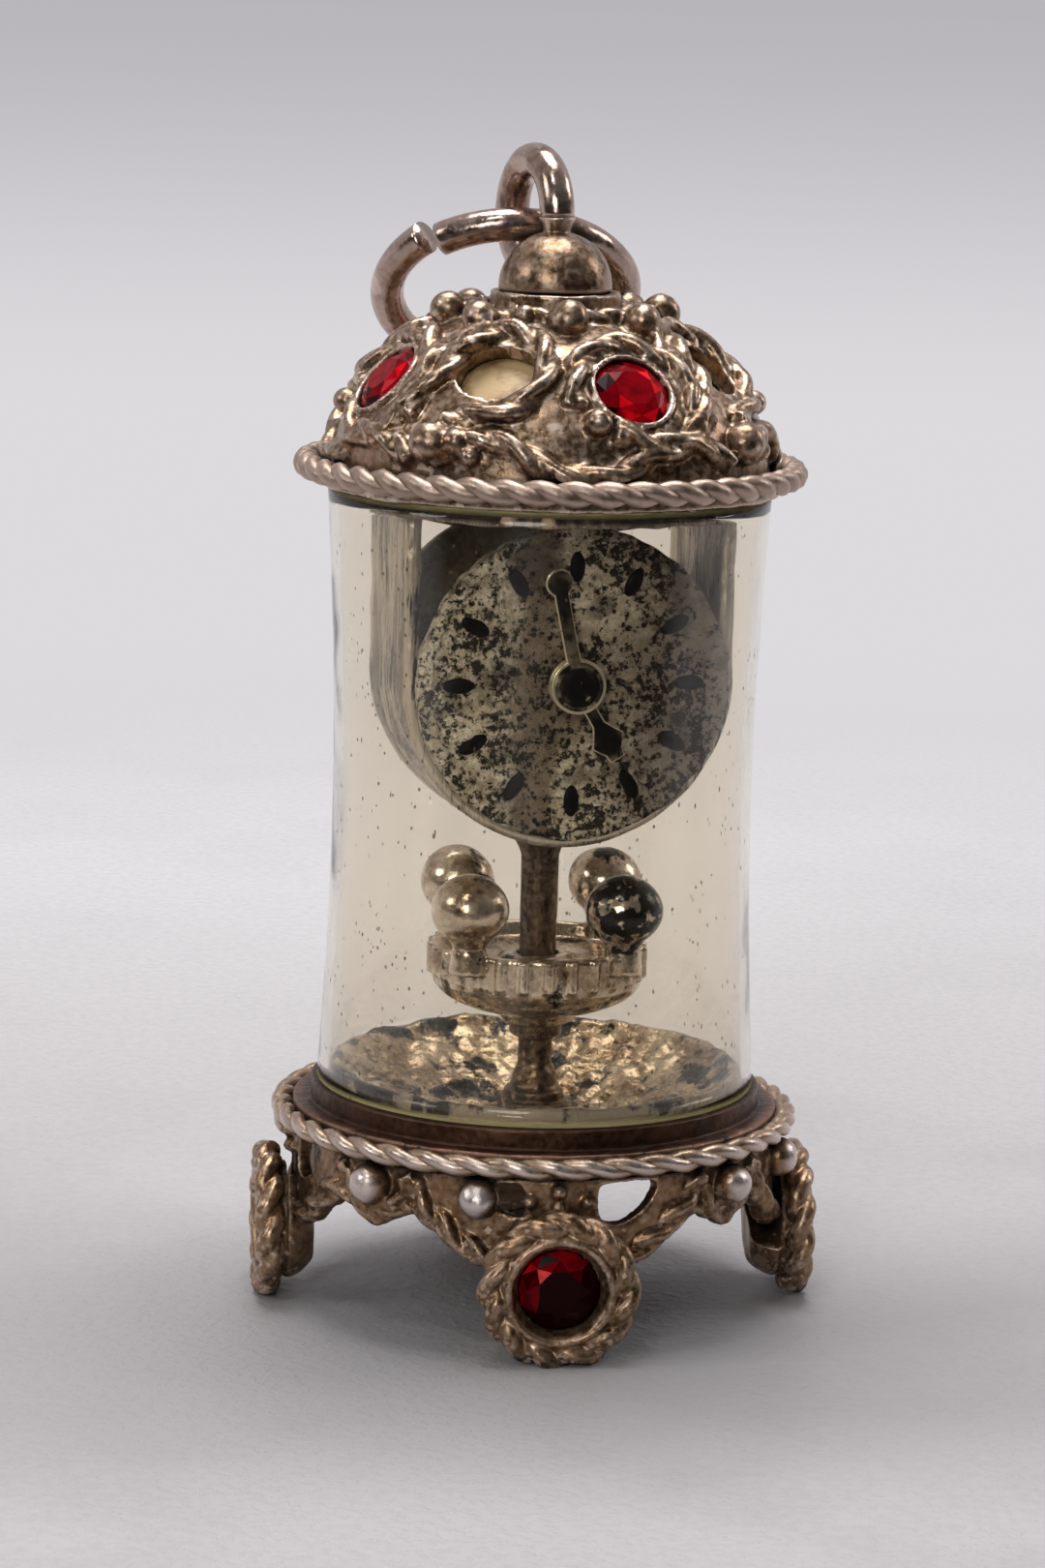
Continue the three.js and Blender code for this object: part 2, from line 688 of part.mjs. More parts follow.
// The arbor: a rivet through the dial that the two hands turn on.
const hourHandBack = dialThickness + seatGap;
const minuteHandBack = hourHandBack + handThickness + seatGap;
const arborHead = minuteHandBack + handThickness + seatGap;
function arbor() {
  const tail = -seatGap - arborTailHeight;
  const front = arborHead + arborHeadHeight;
  const profile = [
    [0, tail],
    [arborTailRadius, tail],
    [arborTailRadius, -seatGap],
    [arborRadius, -seatGap],
    [arborRadius, arborHead],
    [arborHeadRadius, arborHead],
    [0.86 * arborHeadRadius, front],
    [0, front],
  ];
  return standing(turned(profile, small), dialBack);
}

// A hand: its blade and tip joined to a round hub with a running bore, turned clockwise from twelve.
function hand(blade, angle, back) {
  const hub = turned([[0, 0], [handHubRadius, 0], [handHubRadius, handThickness], [0, handThickness]], small);
  const bore = new THREE.CylinderGeometry(arborRadius + runningGap, arborRadius + runningGap, 2, small);
  const made = cut(join([hub, ...blade]), [bore.rotateX(Math.PI / 2)]);
  return standing(geometryOf(made).rotateZ(radians(-angle)).translate(0, 0, back), dialBack);
}

function minuteHand() {
  const barLength = minuteHandReach - minuteTipRadius;
  const bar = new THREE.BoxGeometry(minuteHandWidth, barLength, handThickness);
  const tip = new THREE.CylinderGeometry(minuteTipRadius, minuteTipRadius, handThickness, small);
  tip.rotateX(Math.PI / 2).translate(0, barLength, handThickness / 2);
  return hand([bar.translate(0, barLength / 2, handThickness / 2), tip], minuteHandAngle, minuteHandBack);
}

function hourHand() {
  const stem = 0.19 * hourHandWidth;
  const half = [
    [stem, 0],
    [stem, 0.55 * hourHandReach],
    [hourHandWidth / 2, 0.74 * hourHandReach],
    [stem, 0.88 * hourHandReach],
    [stem, hourHandReach],
  ];
  const outline = [...half, ...half.map(([across, along]) => [-across, along]).reverse()];
  const blade = new THREE.Shape(outline.map(([across, along]) => new THREE.Vector2(across, along)));
  return hand([sheet(blade, handThickness)], hourHandAngle, hourHandBack);
}

// The cradle: a strap bent into a U round the works, and the round plate that it hangs from.
function cradleStrap() {
  const inner = cradleRadius - cradleWall;
  const top = dialDrop - seatGap;
  const outline = new THREE.Shape();
  outline.moveTo(-cradleRadius, top);
  outline.lineTo(-cradleRadius, 0);
  outline.absarc(0, 0, cradleRadius, Math.PI, 2 * Math.PI, false);
  outline.lineTo(cradleRadius, top);
  outline.lineTo(inner, top);
  outline.lineTo(inner, 0);
  outline.absarc(0, 0, inner, 2 * Math.PI, Math.PI, true);
  outline.lineTo(-inner, top);
  return standing(sheet(outline, cradleDepth, 16), cradleBack);
}

function cradlePlate() {
  const radius = spigotInner * facetShrink - seatGap;
  const low = cradleTop - cradleTopThickness;
  return turned([[0, low], [radius, low], [radius, cradleTop], [0, cradleTop]]);
}

// The back plate closes the back of the works.
const backPlate = () =>
  standing(washer(0, dialRadius, backThickness, around), cradleBack + seatGap + backThickness);

// The post, a plain rod with a flared head under the cradle.
function post() {
  const foot = pedestalTop + seatGap;
  return turned(
    [
      [0, foot],
      [postRadius, foot],
      [postRadius, postTop - postFlareHeight],
      [postFlareRadius, postTop],
      [0, postTop],
    ],
    small,
  );
}

// The pedestal: a square block, a stepped cone and the ring that carries the pendulum.
function pedestal() {
  const foot = panFloor + seatGap;
  const block = new THREE.BoxGeometry(pedestalFootWidth, pedestalFootWidth, pedestalFootHeight);
  const coneFoot = foot + pedestalFootHeight / 2;
  const ringFoot = pedestalTop - pedestalRingHeight;
  const stem = turned(
    [
      [0, coneFoot],
      [pedestalConeRadius, coneFoot],
      [pedestalConeRadius, coneFoot + 0.43 * pedestalConeHeight],
      [0.8 * pedestalConeRadius, coneFoot + 0.52 * pedestalConeHeight],
      [0.72 * pedestalConeRadius, coneFoot + 0.83 * pedestalConeHeight],
      [pedestalStemRadius, coneFoot + pedestalConeHeight],
      [pedestalStemRadius, ringFoot - pedestalRingHeight / 3],
      [pedestalTopRadius, ringFoot],
      [pedestalTopRadius, pedestalTop],
      [0, pedestalTop],
    ],
    small,
  );
  return join([block.translate(0, 0, foot + pedestalFootHeight / 2), stem]);
}

// The pendulum: a ribbed disc with a rounded underside and four balls on short necks, bored for the post.
function pendulum() {
  const bandFoot = pendulumTop - pendulumBand;
  const outline = [];
  for (let rib = 0; rib < pendulumRibs; rib++) {
    for (const [share, depth] of [[0, 0], [0.5, pendulumRibDepth]]) {
      const angle = (2 * Math.PI * (rib + share)) / pendulumRibs;
      const reach = pendulumRadius - depth;
      outline.push(new THREE.Vector2(reach * Math.cos(angle), reach * Math.sin(angle)));
    }
  }
  const band = sheet(new THREE.Shape(outline), pendulumBand).translate(0, 0, bandFoot);
  const bowlRadius = pendulumRadius - pendulumRibDepth;
  const profile = [[0, pendulumBottom], [pendulumHubRadius, pendulumBottom]];
  for (let step = 0; step <= 4; step++) {
    const angle = (Math.PI / 2) * (0.12 + 0.88 * (step / 4));
    profile.push([
      pendulumHubRadius + (bowlRadius - pendulumHubRadius) * Math.sin(angle),
      bandFoot - pendulumBowl * Math.cos(angle),
    ]);
  }
  profile.push([bowlRadius, bandFoot + pendulumBand / 2], [0, bandFoot + pendulumBand / 2]);
  const balls = [45, 135, 225, 315].flatMap((angle) => {
    const neckHeight = ballRadius + ballNeckHeight + pendulumBand / 2;
    const neck = new THREE.CylinderGeometry(ballNeckRadius, ballNeckRadius, neckHeight, 8);
    const centre = atAngle(angle, ballCircle, ballCentre);
    neck.rotateX(Math.PI / 2).translate(centre.x, centre.y, ballCentre - neckHeight / 2);
    return [neck, ball(ballRadius, centre, 10, 6)];
  });
  const boreRadius = postRadius + runningGap;
  const bore = new THREE.CylinderGeometry(boreRadius, boreRadius, 40, small).rotateX(Math.PI / 2);
  return cut(join([band, turned(profile, 28), ...balls]), [bore]);
}

// The base
addPiece(charm, "base_plate", basePlate(), copperFlush);
addPiece(charm, "base_rope_rim", ropeRing(baseRopeCircle, baseRopeRadius, baseRopeHeight), baseSilver);
const corners = ["front", "right", "back", "left"];
const panel = geometryOf(galleryPanel());
const footShape = foot();
const footBack = galleryRadius + galleryFlare + seatGap;
const footGirdle = footPocketFloor + stoneDepth * footStoneRadius + seatGap;
const footStone = stone(footStoneRadius).translate(0, 0, footGirdle);
corners.forEach((corner, turn) => {
  const quarter = new THREE.Group();
  quarter.rotation.z = (Math.PI / 2) * turn;
  charm.add(quarter);
  addPiece(quarter, `gallery_panel_${corner}`, panel, baseSilver);
  const pieces = [addPiece(quarter, `foot_${corner}`, footShape, baseSilver)];
  pieces.push(addPiece(quarter, `foot_stone_${corner}`, footStone, redGlass));
  for (const piece of pieces) {
    piece.rotation.x = Math.PI / 2;
    piece.position.set(0, -footBack, footCentre);
  }
});
addPiece(charm, "pedestal", pedestal(), baseSilver);
addPiece(charm, "pendulum_post", post(), greySilver);
addPiece(charm, "pendulum", pendulum(), baseSilver);
addPiece(charm, "clear_tube", tube(), clearTube);

// The works under the lid
addPiece(dialGroup, "cradle_strap", cradleStrap(), greySilver);
addPiece(dialGroup, "cradle_plate", cradlePlate(), greySilver);
addPiece(dialGroup, "back_plate", backPlate(), greySilver);
addPiece(dialGroup, "dial_plate", dial(), greySilver);
addPiece(dialGroup, "hand_arbor", arbor(), blackEnamel);
addPiece(dialGroup, "minute_hand", minuteHand(), blackEnamel);
addPiece(dialGroup, "hour_hand", hourHand(), blackEnamel);

// The lid and what hangs on it
addPiece(lidGroup, "lid", lid(), lidSilver);
addPiece(lidGroup, "lid_rope_rim", ropeRing(lidRopeCircle, lidRopeRadius, lidRopeHeight), lidSilver);
corners.forEach((corner, turn) => {
  const set = setOnDome(stone(lidStoneRadius), 90 * turn, lidStoneHeightAngle);
  addPiece(lidGroup, `lid_stone_${corner}`, set, redGlass);
});
addPiece(lidGroup, "finial", finial(), lidSilver);
addPiece(lidGroup, "bail", bail(), brightWire);
addPiece(charm, "jump_ring", wire(ringCurve(ringRest), jumpWireRadius, 28), brightWire);

export default charm;
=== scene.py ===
"""Looks of a silver clock charm: an anniversary clock under a clear tube, on round stone-set feet.

Lengths are in millimetres in this file and become metres when a mesh is made.
Angles round the charm are in degrees, from the front (-Y) towards the right (+X).
"""

import logging
import math
from dataclasses import dataclass, field
from enum import Enum
from itertools import product
from typing import Callable, Sequence

import bmesh
import bpy
from mathutils import Matrix, Vector, noise


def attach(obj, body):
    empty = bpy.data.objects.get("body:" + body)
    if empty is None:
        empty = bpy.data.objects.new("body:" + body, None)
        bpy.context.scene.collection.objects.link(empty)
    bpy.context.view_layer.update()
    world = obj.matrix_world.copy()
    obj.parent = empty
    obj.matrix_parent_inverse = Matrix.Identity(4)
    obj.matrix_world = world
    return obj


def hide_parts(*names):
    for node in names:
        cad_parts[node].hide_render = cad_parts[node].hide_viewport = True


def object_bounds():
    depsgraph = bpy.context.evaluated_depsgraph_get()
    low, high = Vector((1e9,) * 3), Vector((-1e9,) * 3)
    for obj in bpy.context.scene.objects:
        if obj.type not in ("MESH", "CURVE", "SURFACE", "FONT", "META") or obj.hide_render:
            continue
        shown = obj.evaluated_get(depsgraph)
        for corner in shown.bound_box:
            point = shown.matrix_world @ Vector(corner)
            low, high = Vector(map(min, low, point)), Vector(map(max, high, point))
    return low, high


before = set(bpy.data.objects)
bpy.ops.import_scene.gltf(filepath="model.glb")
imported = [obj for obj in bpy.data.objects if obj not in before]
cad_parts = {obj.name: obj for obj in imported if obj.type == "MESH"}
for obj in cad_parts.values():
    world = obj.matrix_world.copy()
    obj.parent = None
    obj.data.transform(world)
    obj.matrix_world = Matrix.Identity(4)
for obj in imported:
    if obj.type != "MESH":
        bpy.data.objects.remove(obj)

CAD_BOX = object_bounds()
MM = 0.001
MOST_TRIANGLES = 190_000
CORNERS = ("front", "right", "back", "left")
QUARTERS = (0, 90, 180, 270)
log = logging.getLogger("clock_charm")

Piece = bpy.types.Object
Material = bpy.types.Material
Node = bpy.types.Node
Socket = bpy.types.NodeSocket
Colour = tuple[float, float, float]
Point = tuple[float, float, float]
Profile = Sequence[tuple[float, float]]
Marks = tuple[tuple[float, ...], ...]

EVEN: Point = (1.0, 1.0, 1.0)
UPRIGHT_STREAKS: Point = (2.2, 2.2, 0.22)


def srgb(*shown: int) -> Colour:
    """Turn red, green and blue of 0 to 255, as a screen shows them, into linear values."""
    shares = (value / 255 for value in shown)
    return tuple(share / 12.92 if share <= 0.04045 else ((share + 0.055) / 1.055) ** 2.4 for share in shares)


# Node trees


class Nodes:
    """Adds nodes to one tree, each with its settings and what goes into it."""

    def __init__(self, tree: bpy.types.NodeTree) -> None:
        """Start on an emptied tree."""
        self.tree = tree
        tree.nodes.clear()

    def add(self, kind: str, values: dict | None = None, **settings: object) -> Node:
        """Add a node.

        Args:
            kind: The node's type name.
            values: Input name or number to a value, a socket or a node, whose first output is used.
            settings: Properties of the node.

        Returns:
            The new node.
        """
        node = self.tree.nodes.new(kind)
        for name, value in settings.items():
            setattr(node, name, value)
        for key, value in (values or {}).items():
            self.feed(node.inputs[key], value)
        return node

    def feed(self, socket: Socket, value: object) -> None:
        """Link a socket or a node into an input, or set the input's value.

        Args:
            socket: The input.
            value: A socket, a node or a plain value.
        """
        if isinstance(value, Node):
            value = next(out for out in value.outputs if out.enabled)
        if isinstance(value, Socket):
            self.tree.links.new(value, socket)
        elif isinstance(value, tuple) and len(value) == 3 and len(socket.default_value) == 4:
            socket.default_value = (*value, 1.0)
        else:
            socket.default_value = value

    def maths(self, operation: str, first: object, second: object = 0.0) -> Node:
        """Add a Math node on two values."""
        return self.add("ShaderNodeMath", {0: first, 1: second}, operation=operation)

    def plus(self, first: object, second: object) -> Node:
        """Add one value to another."""
        return self.maths("ADD", first, second)

    def minus(self, first: object, second: object) -> Node:
        """Take the second value from the first."""
        return self.maths("SUBTRACT", first, second)

    def times(self, first: object, second: object) -> Node:
        """Multiply one value by another."""
        return self.maths("MULTIPLY", first, second)

    def larger(self, first: object, second: object) -> Node:
        """Pick the larger of two values."""
        return self.maths("MAXIMUM", first, second)

    def vector(self, operation: str, first: object, second: object = (0.0, 0.0, 0.0)) -> Node:
        """Add a Vector Math node on two vectors."""
        return self.add("ShaderNodeVectorMath", {0: first, 1: second}, operation=operation)

    def scaled(self, vector: object, factor: object) -> Node:
        """Add a Vector Math node that scales a vector."""
        return self.add("ShaderNodeVectorMath", {0: vector, "Scale": factor}, operation="SCALE")

    def part(self, vector: object, axis: str) -> Socket:
        """One part of a vector, X, Y or Z."""
        return self.add("ShaderNodeSeparateXYZ", {0: vector}).outputs[axis]

    def spread(
        self, value: object, low: float, high: float, to_low: float = 0.0, to_high: float = 1.0
    ) -> Node:
        """Map a value smoothly from one range to another.

        Args:
            value: What is mapped.
            low: Start of the range it comes from.
            high: End of that range.
            to_low: What low becomes.
            to_high: What high becomes.

        Returns:
            The Map Range node.
        """
        values = {0: value, 1: low, 2: high, 3: to_low, 4: to_high}
        return self.add("ShaderNodeMapRange", values, interpolation_type="SMOOTHSTEP")

    def seen(self) -> Node:
        """One for what is looked at, straight or through glass, and nought for what is reflected.

        Returns:
            The Math node.
        """
        path = self.add("ShaderNodeLightPath")
        bounces = self.plus(path.outputs["Diffuse Depth"], path.outputs["Glossy Depth"])
        through = self.times(path.outputs["Is Transmission Ray"], self.maths("LESS_THAN", bounces, 0.5))
        return self.larger(path.outputs["Is Camera Ray"], through)

    def blend(self, factor: object, first: object, second: object) -> Socket:
        """Mix two colours.

        Args:
            factor: Share of the second colour.
            first: First colour.
            second: Second colour.

        Returns:
            The mixed colour's socket.
        """
        node = self.add("ShaderNodeMix", data_type="RGBA", clamp_factor=True)
        for index, value in ((0, factor), (6, first), (7, second)):
            self.feed(node.inputs[index], value)
        return node.outputs[2]

    def between(self, share: object, first: object, second: object) -> Node:
        """Mix two shaders by the second one's share."""
        return self.add("ShaderNodeMixShader", {0: share, 1: first, 2: second})


class MaterialNodes(Nodes):
    """Nodes of one material, with coordinates in millimetres on the object."""

    def __init__(self, name: str) -> None:
        """Make the material and its coordinates."""
        self.material = bpy.data.materials.new(name)
        self.material.use_nodes = True
        super().__init__(self.material.node_tree)
        position = self.add("ShaderNodeTexCoord").outputs["Object"]
        to_mm = (1 / MM, 1 / MM, 1 / MM)
        self.place = self.add("ShaderNodeMapping", {"Vector": position, "Scale": to_mm}).outputs[0]

    def from_axis(self) -> Socket:
        """Distance from the charm's upright axis."""
        level = self.vector("MULTIPLY", self.place, (1.0, 1.0, 0.0)).outputs["Vector"]
        return self.vector("LENGTH", level).outputs["Value"]

    def from_point(self, point: Point) -> Socket:
        """Distance from a point."""
        return self.vector("DISTANCE", self.place, point).outputs["Value"]

    def edges(self, low: float, high: float) -> Node:
        """One on sharp edges and nought elsewhere, between two values of sharpness."""
        return self.spread(self.add("ShaderNodeNewGeometry").outputs["Pointiness"], low, high)

    def mottle(
        self, scale: float, detail: float = 3.0, stretch: Point = EVEN, rough: float = 0.55
    ) -> Node:
        """Add a noise texture.

        Args:
            scale: Features in a millimetre.
            detail: Octaves.
            stretch: Scale along each axis, for streaks.
            rough: Weight of the fine octaves.

        Returns:
            The texture, whose first output is the factor.
        """
        place = self.place if stretch == EVEN else self.vector("MULTIPLY", self.place, stretch)
        return self.add(
            "ShaderNodeTexNoise", {"Vector": place, "Scale": scale, "Detail": detail, "Roughness": rough}
        )

    def cells(self, scale: float, stretch: Point = EVEN) -> Node:
        """Add a cell texture, whose first output is the distance to the nearest point."""
        place = self.vector("MULTIPLY", self.place, stretch)
        return self.add("ShaderNodeTexVoronoi", {"Vector": place, "Scale": scale})

    def bump(self, height: object, depth: float, under: object | None = None) -> Socket:
        """Add a bump of a real depth in millimetres, over another bump if there is one.

        Args:
            height: The height socket.
            depth: Depth in mm.
            under: A normal to build on.

        Returns:
            The normal.
        """
        values = {"Height": height, "Strength": 1.0, "Distance": depth * MM}
        if under is not None:
            values["Normal"] = under
        return self.add("ShaderNodeBump", values).outputs[0]

    def surface(
        self, colour: object, rough: object, normal: object | None = None, **more: object
    ) -> Node:
        """Add a Principled shader.

        Args:
            colour: Base colour.
            rough: Roughness.
            normal: The bumped normal, if there is one.
            more: Other inputs, named with _ for a space.

        Returns:
            The shader.
        """
        values = {name.replace("_", " "): value for name, value in more.items()}
        if normal is not None:
            values["Normal"] = normal
        return self.add("ShaderNodeBsdfPrincipled", {"Base Color": colour, "Roughness": rough, **values})

    def finish(self, shader: object) -> Material:
        """Send a shader to the surface output and return the material."""
        self.add("ShaderNodeOutputMaterial", {"Surface": shader})
        return self.material


# Finishes


@dataclass(frozen=True)
class CastMetal:
    """Old cast silver: tarnish in patches, painted shade in recesses, rubbed specks, a painted highlight on
    sharp edges and a grainy skin.

    Attributes:
        name: Material name.
        body: Colour of the open surface.
        patch: Colour of the tarnish patches.
        recess_painted_shade: Colour of the painted shade deep in corners.
        wear_and_highlight: Colour of the rubbed specks and of the painted highlight on sharp edges.
        roughness: Of the open surface.
        patch_share: How much of the surface the patches cover.
        recess_reach: How far from a corner the painted shade goes.
        skin: Depth of the casting skin.
        black: Share of the surface with black tarnish.
        streaks: Whether the tarnish runs in upright streaks, which fade towards the bottom.
        streak_fade: Heights between which the streaks of black come in.
        grain: How fine the black tarnish is, in spots to the millimetre.
        ring_stain: Inner and outer radius of a dark stain round the upright axis.
        spot_stain: Middle and radius of a black stain.
        edge_tone: Distance from the upright axis past which the colour changes, and the colour there; on the
            base's silver it is a painted highlight on the outer beads and rope.
        black_tone: Colour of the black tarnish.
        ring_tone: Colour of the dark ring.
    """

    name: str
    body: Colour
    patch: Colour
    recess_painted_shade: Colour
    wear_and_highlight: Colour
    roughness: float = 0.36
    patch_share: float = 0.45
    recess_reach: float = 0.55
    skin: float = 0.012
    black: float = 0.0
    streaks: bool = False
    streak_fade: tuple[float, float] = (12.6, 14.4)
    grain: float = 2.6
    ring_stain: tuple[float, float] | None = None
    spot_stain: tuple[Point, float] | None = None
    edge_tone: tuple[float, Colour] | None = None
    black_tone: Colour = (0.006, 0.006, 0.007)
    ring_tone: Colour = (0.022, 0.009, 0.004)

    def make(self) -> Material:
        """Build the material.

        Returns:
            The material.
        """
        n = MaterialNodes(self.name)
        stretch = UPRIGHT_STREAKS if self.streaks else EVEN
        share = 0.3 * self.patch_share
        patches = n.spread(n.mottle(0.75, 5.0, stretch), 0.62 - share, 0.74 - share)
        fine = n.mottle(5.5, 4.0, stretch)
        colour = n.blend(patches, self.body, self.patch)
        colour = n.blend(n.spread(fine, 0.35, 0.75, 0.0, 0.4), colour, self.wear_and_highlight)
        # Painted shade: ambient occlusion darkens corners and gaps towards the recess colour, and makes them
        # rougher and less metallic.
        reach = {"Distance": self.recess_reach * MM}
        hollow = n.add("ShaderNodeAmbientOcclusion", reach, samples=8).outputs["AO"]
        depth = n.spread(hollow, 0.25, 0.85, 1.0, 0.0)
        colour = n.blend(depth, colour, self.recess_painted_shade)
        # Painted highlight: sharp edges, found by pointiness, are lightened towards the rubbed colour.
        colour = n.blend(n.times(n.edges(0.51, 0.58), 0.75), colour, self.wear_and_highlight)
        # Past a distance from the axis the colour changes; on the base's silver this is a painted highlight
        # on the outermost beads and rope.
        if self.edge_tone:
            begin, tone = self.edge_tone
            colour = n.blend(n.spread(n.from_axis(), begin, begin + 0.25, 0.0, 0.75), colour, tone)
        uneven = n.spread(fine, 0.2, 0.8, self.roughness - 0.1, self.roughness + 0.12)
        rough = n.plus(uneven, n.times(depth, 0.25))
        metal = n.spread(depth, 0.0, 1.0, 0.92, 0.45)
        if self.black > 0:
            stain = self.black_stain(n, stretch)
            colour = n.blend(stain, colour, self.black_tone)
            metal = n.times(metal, n.spread(stain, 0.0, 1.0, 1.0, 0.3))
        if self.ring_stain:
            low, high = self.ring_stain
            ragged = n.plus(n.from_axis(), n.times(n.mottle(1.2, 4.0), 0.35))
            colour = n.blend(n.spread(ragged, low, high, 0.78, 0.0), colour, self.ring_tone)
        skin = n.bump(fine, self.skin)
        lumps = n.bump(n.mottle(1.6, 2.0), self.skin * 2.5, skin)
        return n.finish(n.surface(colour, rough, lumps, Metallic=metal))

    def black_stain(self, n: MaterialNodes, stretch: Point) -> Node:
        """Add the nodes that say where the metal is black.

        Args:
            n: The material's nodes.
            stretch: Scale of the pattern along each axis.

        Returns:
            Share of black.
        """
        spots = n.mottle(self.grain, 5.0, stretch, 0.7)
        clouds = n.mottle(0.42, 2.0)
        begin = 0.66 - 0.3 * self.black
        stain = n.spread(n.plus(n.times(spots, 0.62), n.times(clouds, 0.38)), begin, begin + 0.05)
        if self.streaks:
            stain = n.times(stain, n.spread(n.part(n.place, "Z"), *self.streak_fade, 0.2, 1.0))
        if self.spot_stain:
            middle, reach = self.spot_stain
            near = n.spread(n.from_point(middle), reach, 1.2 * reach, 1.0, 0.0)
            worn = n.spread(n.mottle(2.2, 4.0), 0.52, 0.56, 1.0, 0.15)
            stain = n.larger(stain, n.times(near, worn))
        return stain


@dataclass(frozen=True)
class BlackEnamel:
    """Black enamel on the hands and marks, a little chipped so that silver shows at its edges."""

    name: str = "black_enamel_worn"
    enamel: Colour = (0.003, 0.003, 0.004)
    silver: Colour = srgb(196, 186, 160)

    def make(self) -> Material:
        """Build the material.

        Returns:
            The material.
        """
        n = MaterialNodes(self.name)
        chips = n.times(n.edges(0.53, 0.6), n.spread(n.mottle(3.0), 0.35, 0.55))
        colour = n.blend(chips, self.enamel, self.silver)
        grain = n.mottle(4.0)
        return n.finish(
            n.surface(
                colour,
                n.spread(grain, 0.2, 0.8, 0.3, 0.55),
                n.bump(grain, 0.015),
                Metallic=n.times(chips, 0.9),
                Specular_IOR_Level=0.08,
            )
        )


@dataclass(frozen=True)
class AgedTube:
    """Clear tube, yellowed, with dust specks and fine upright scratches, that lets light in.

    Foot and mouth are the heights between which the yellow of the cut ends shows.
    """

    name: str = "aged_clear_tube"
    tint: Colour = srgb(247, 241, 230)
    dust: Colour = srgb(92, 82, 66)
    rim: Colour = srgb(214, 204, 150)
    ior: float = 1.46
    foot: tuple[float, float] = (5.7, 5.86)
    mouth: tuple[float, float] = (20.76, 20.9)

    def make(self) -> Material:
        """Build the material.

        Returns:
            The material.
        """
        n = MaterialNodes(self.name)
        scratches = n.mottle(1.3, 4.0, (9.0, 9.0, 0.25), 0.7)
        haze = n.mottle(0.3, 3.0)
        rough = n.plus(n.spread(scratches, 0.62, 0.75, 0.0, 0.16), n.spread(haze, 0.5, 0.7, 0.012, 0.06))
        glass = n.surface(
            self.tint, rough, n.bump(n.mottle(0.22, 2.0), 0.05), IOR=self.ior, Transmission_Weight=1.0
        )
        specks = n.spread(n.cells(2.3, (1.0, 1.0, 0.8)), 0.07, 0.11, 1.0, 0.0)
        flakes = n.spread(n.cells(1.0, (2.2, 2.2, 1.0)), 0.055, 0.085, 1.0, 0.0)
        gather = n.spread(n.mottle(0.4, 2.0), 0.42, 0.55)
        dusty = n.times(n.times(n.larger(specks, flakes), gather), 0.8)
        height = n.part(n.place, "Z")
        ends = n.larger(n.spread(height, *self.foot, 0.6, 0.0), n.spread(height, *self.mouth, 0.0, 0.5))
        glass = n.between(ends, glass, n.add("ShaderNodeBsdfDiffuse", {"Color": self.rim}))
        dirty = n.between(dusty, glass, n.add("ShaderNodeBsdfDiffuse", {"Color": self.dust}))
        clear = n.add("ShaderNodeBsdfTransparent", {"Color": self.tint})
        shadow = n.add("ShaderNodeLightPath").outputs["Is Shadow Ray"]
        return n.finish(n.between(shadow, dirty, clear))


@dataclass(frozen=True)
class RedStone:
    """Crimson glass stone: each facet shows its own red from an attribute, under a clear gloss; the reds are
    painted light and shade, the stone's sparkle.
    """

    name: str = "crimson_stone"
    dark: Colour = (0.012, 0.0002, 0.001)
    middle: Colour = (0.26, 0.001, 0.006)
    bright: Colour = (0.98, 0.005, 0.012)

    def make(self) -> Material:
        """Build the material.

        Returns:
            The material.
        """
        n = MaterialNodes(self.name)
        facet = n.add("ShaderNodeAttribute", attribute_name="facet").outputs["Fac"]
        # Painted light and shade: the facet value picks dark, middle or bright red.
        colour = n.blend(n.spread(facet, 0.0, 0.5), self.dark, self.middle)
        colour = n.blend(n.spread(facet, 0.55, 1.0), colour, self.bright)
        colour = n.blend(n.spread(n.mottle(2.5, 2.0), 0.4, 0.7, 0.0, 0.5), colour, self.dark)
        return n.finish(n.surface(colour, 0.06, IOR=1.5, Specular_IOR_Level=0.06))


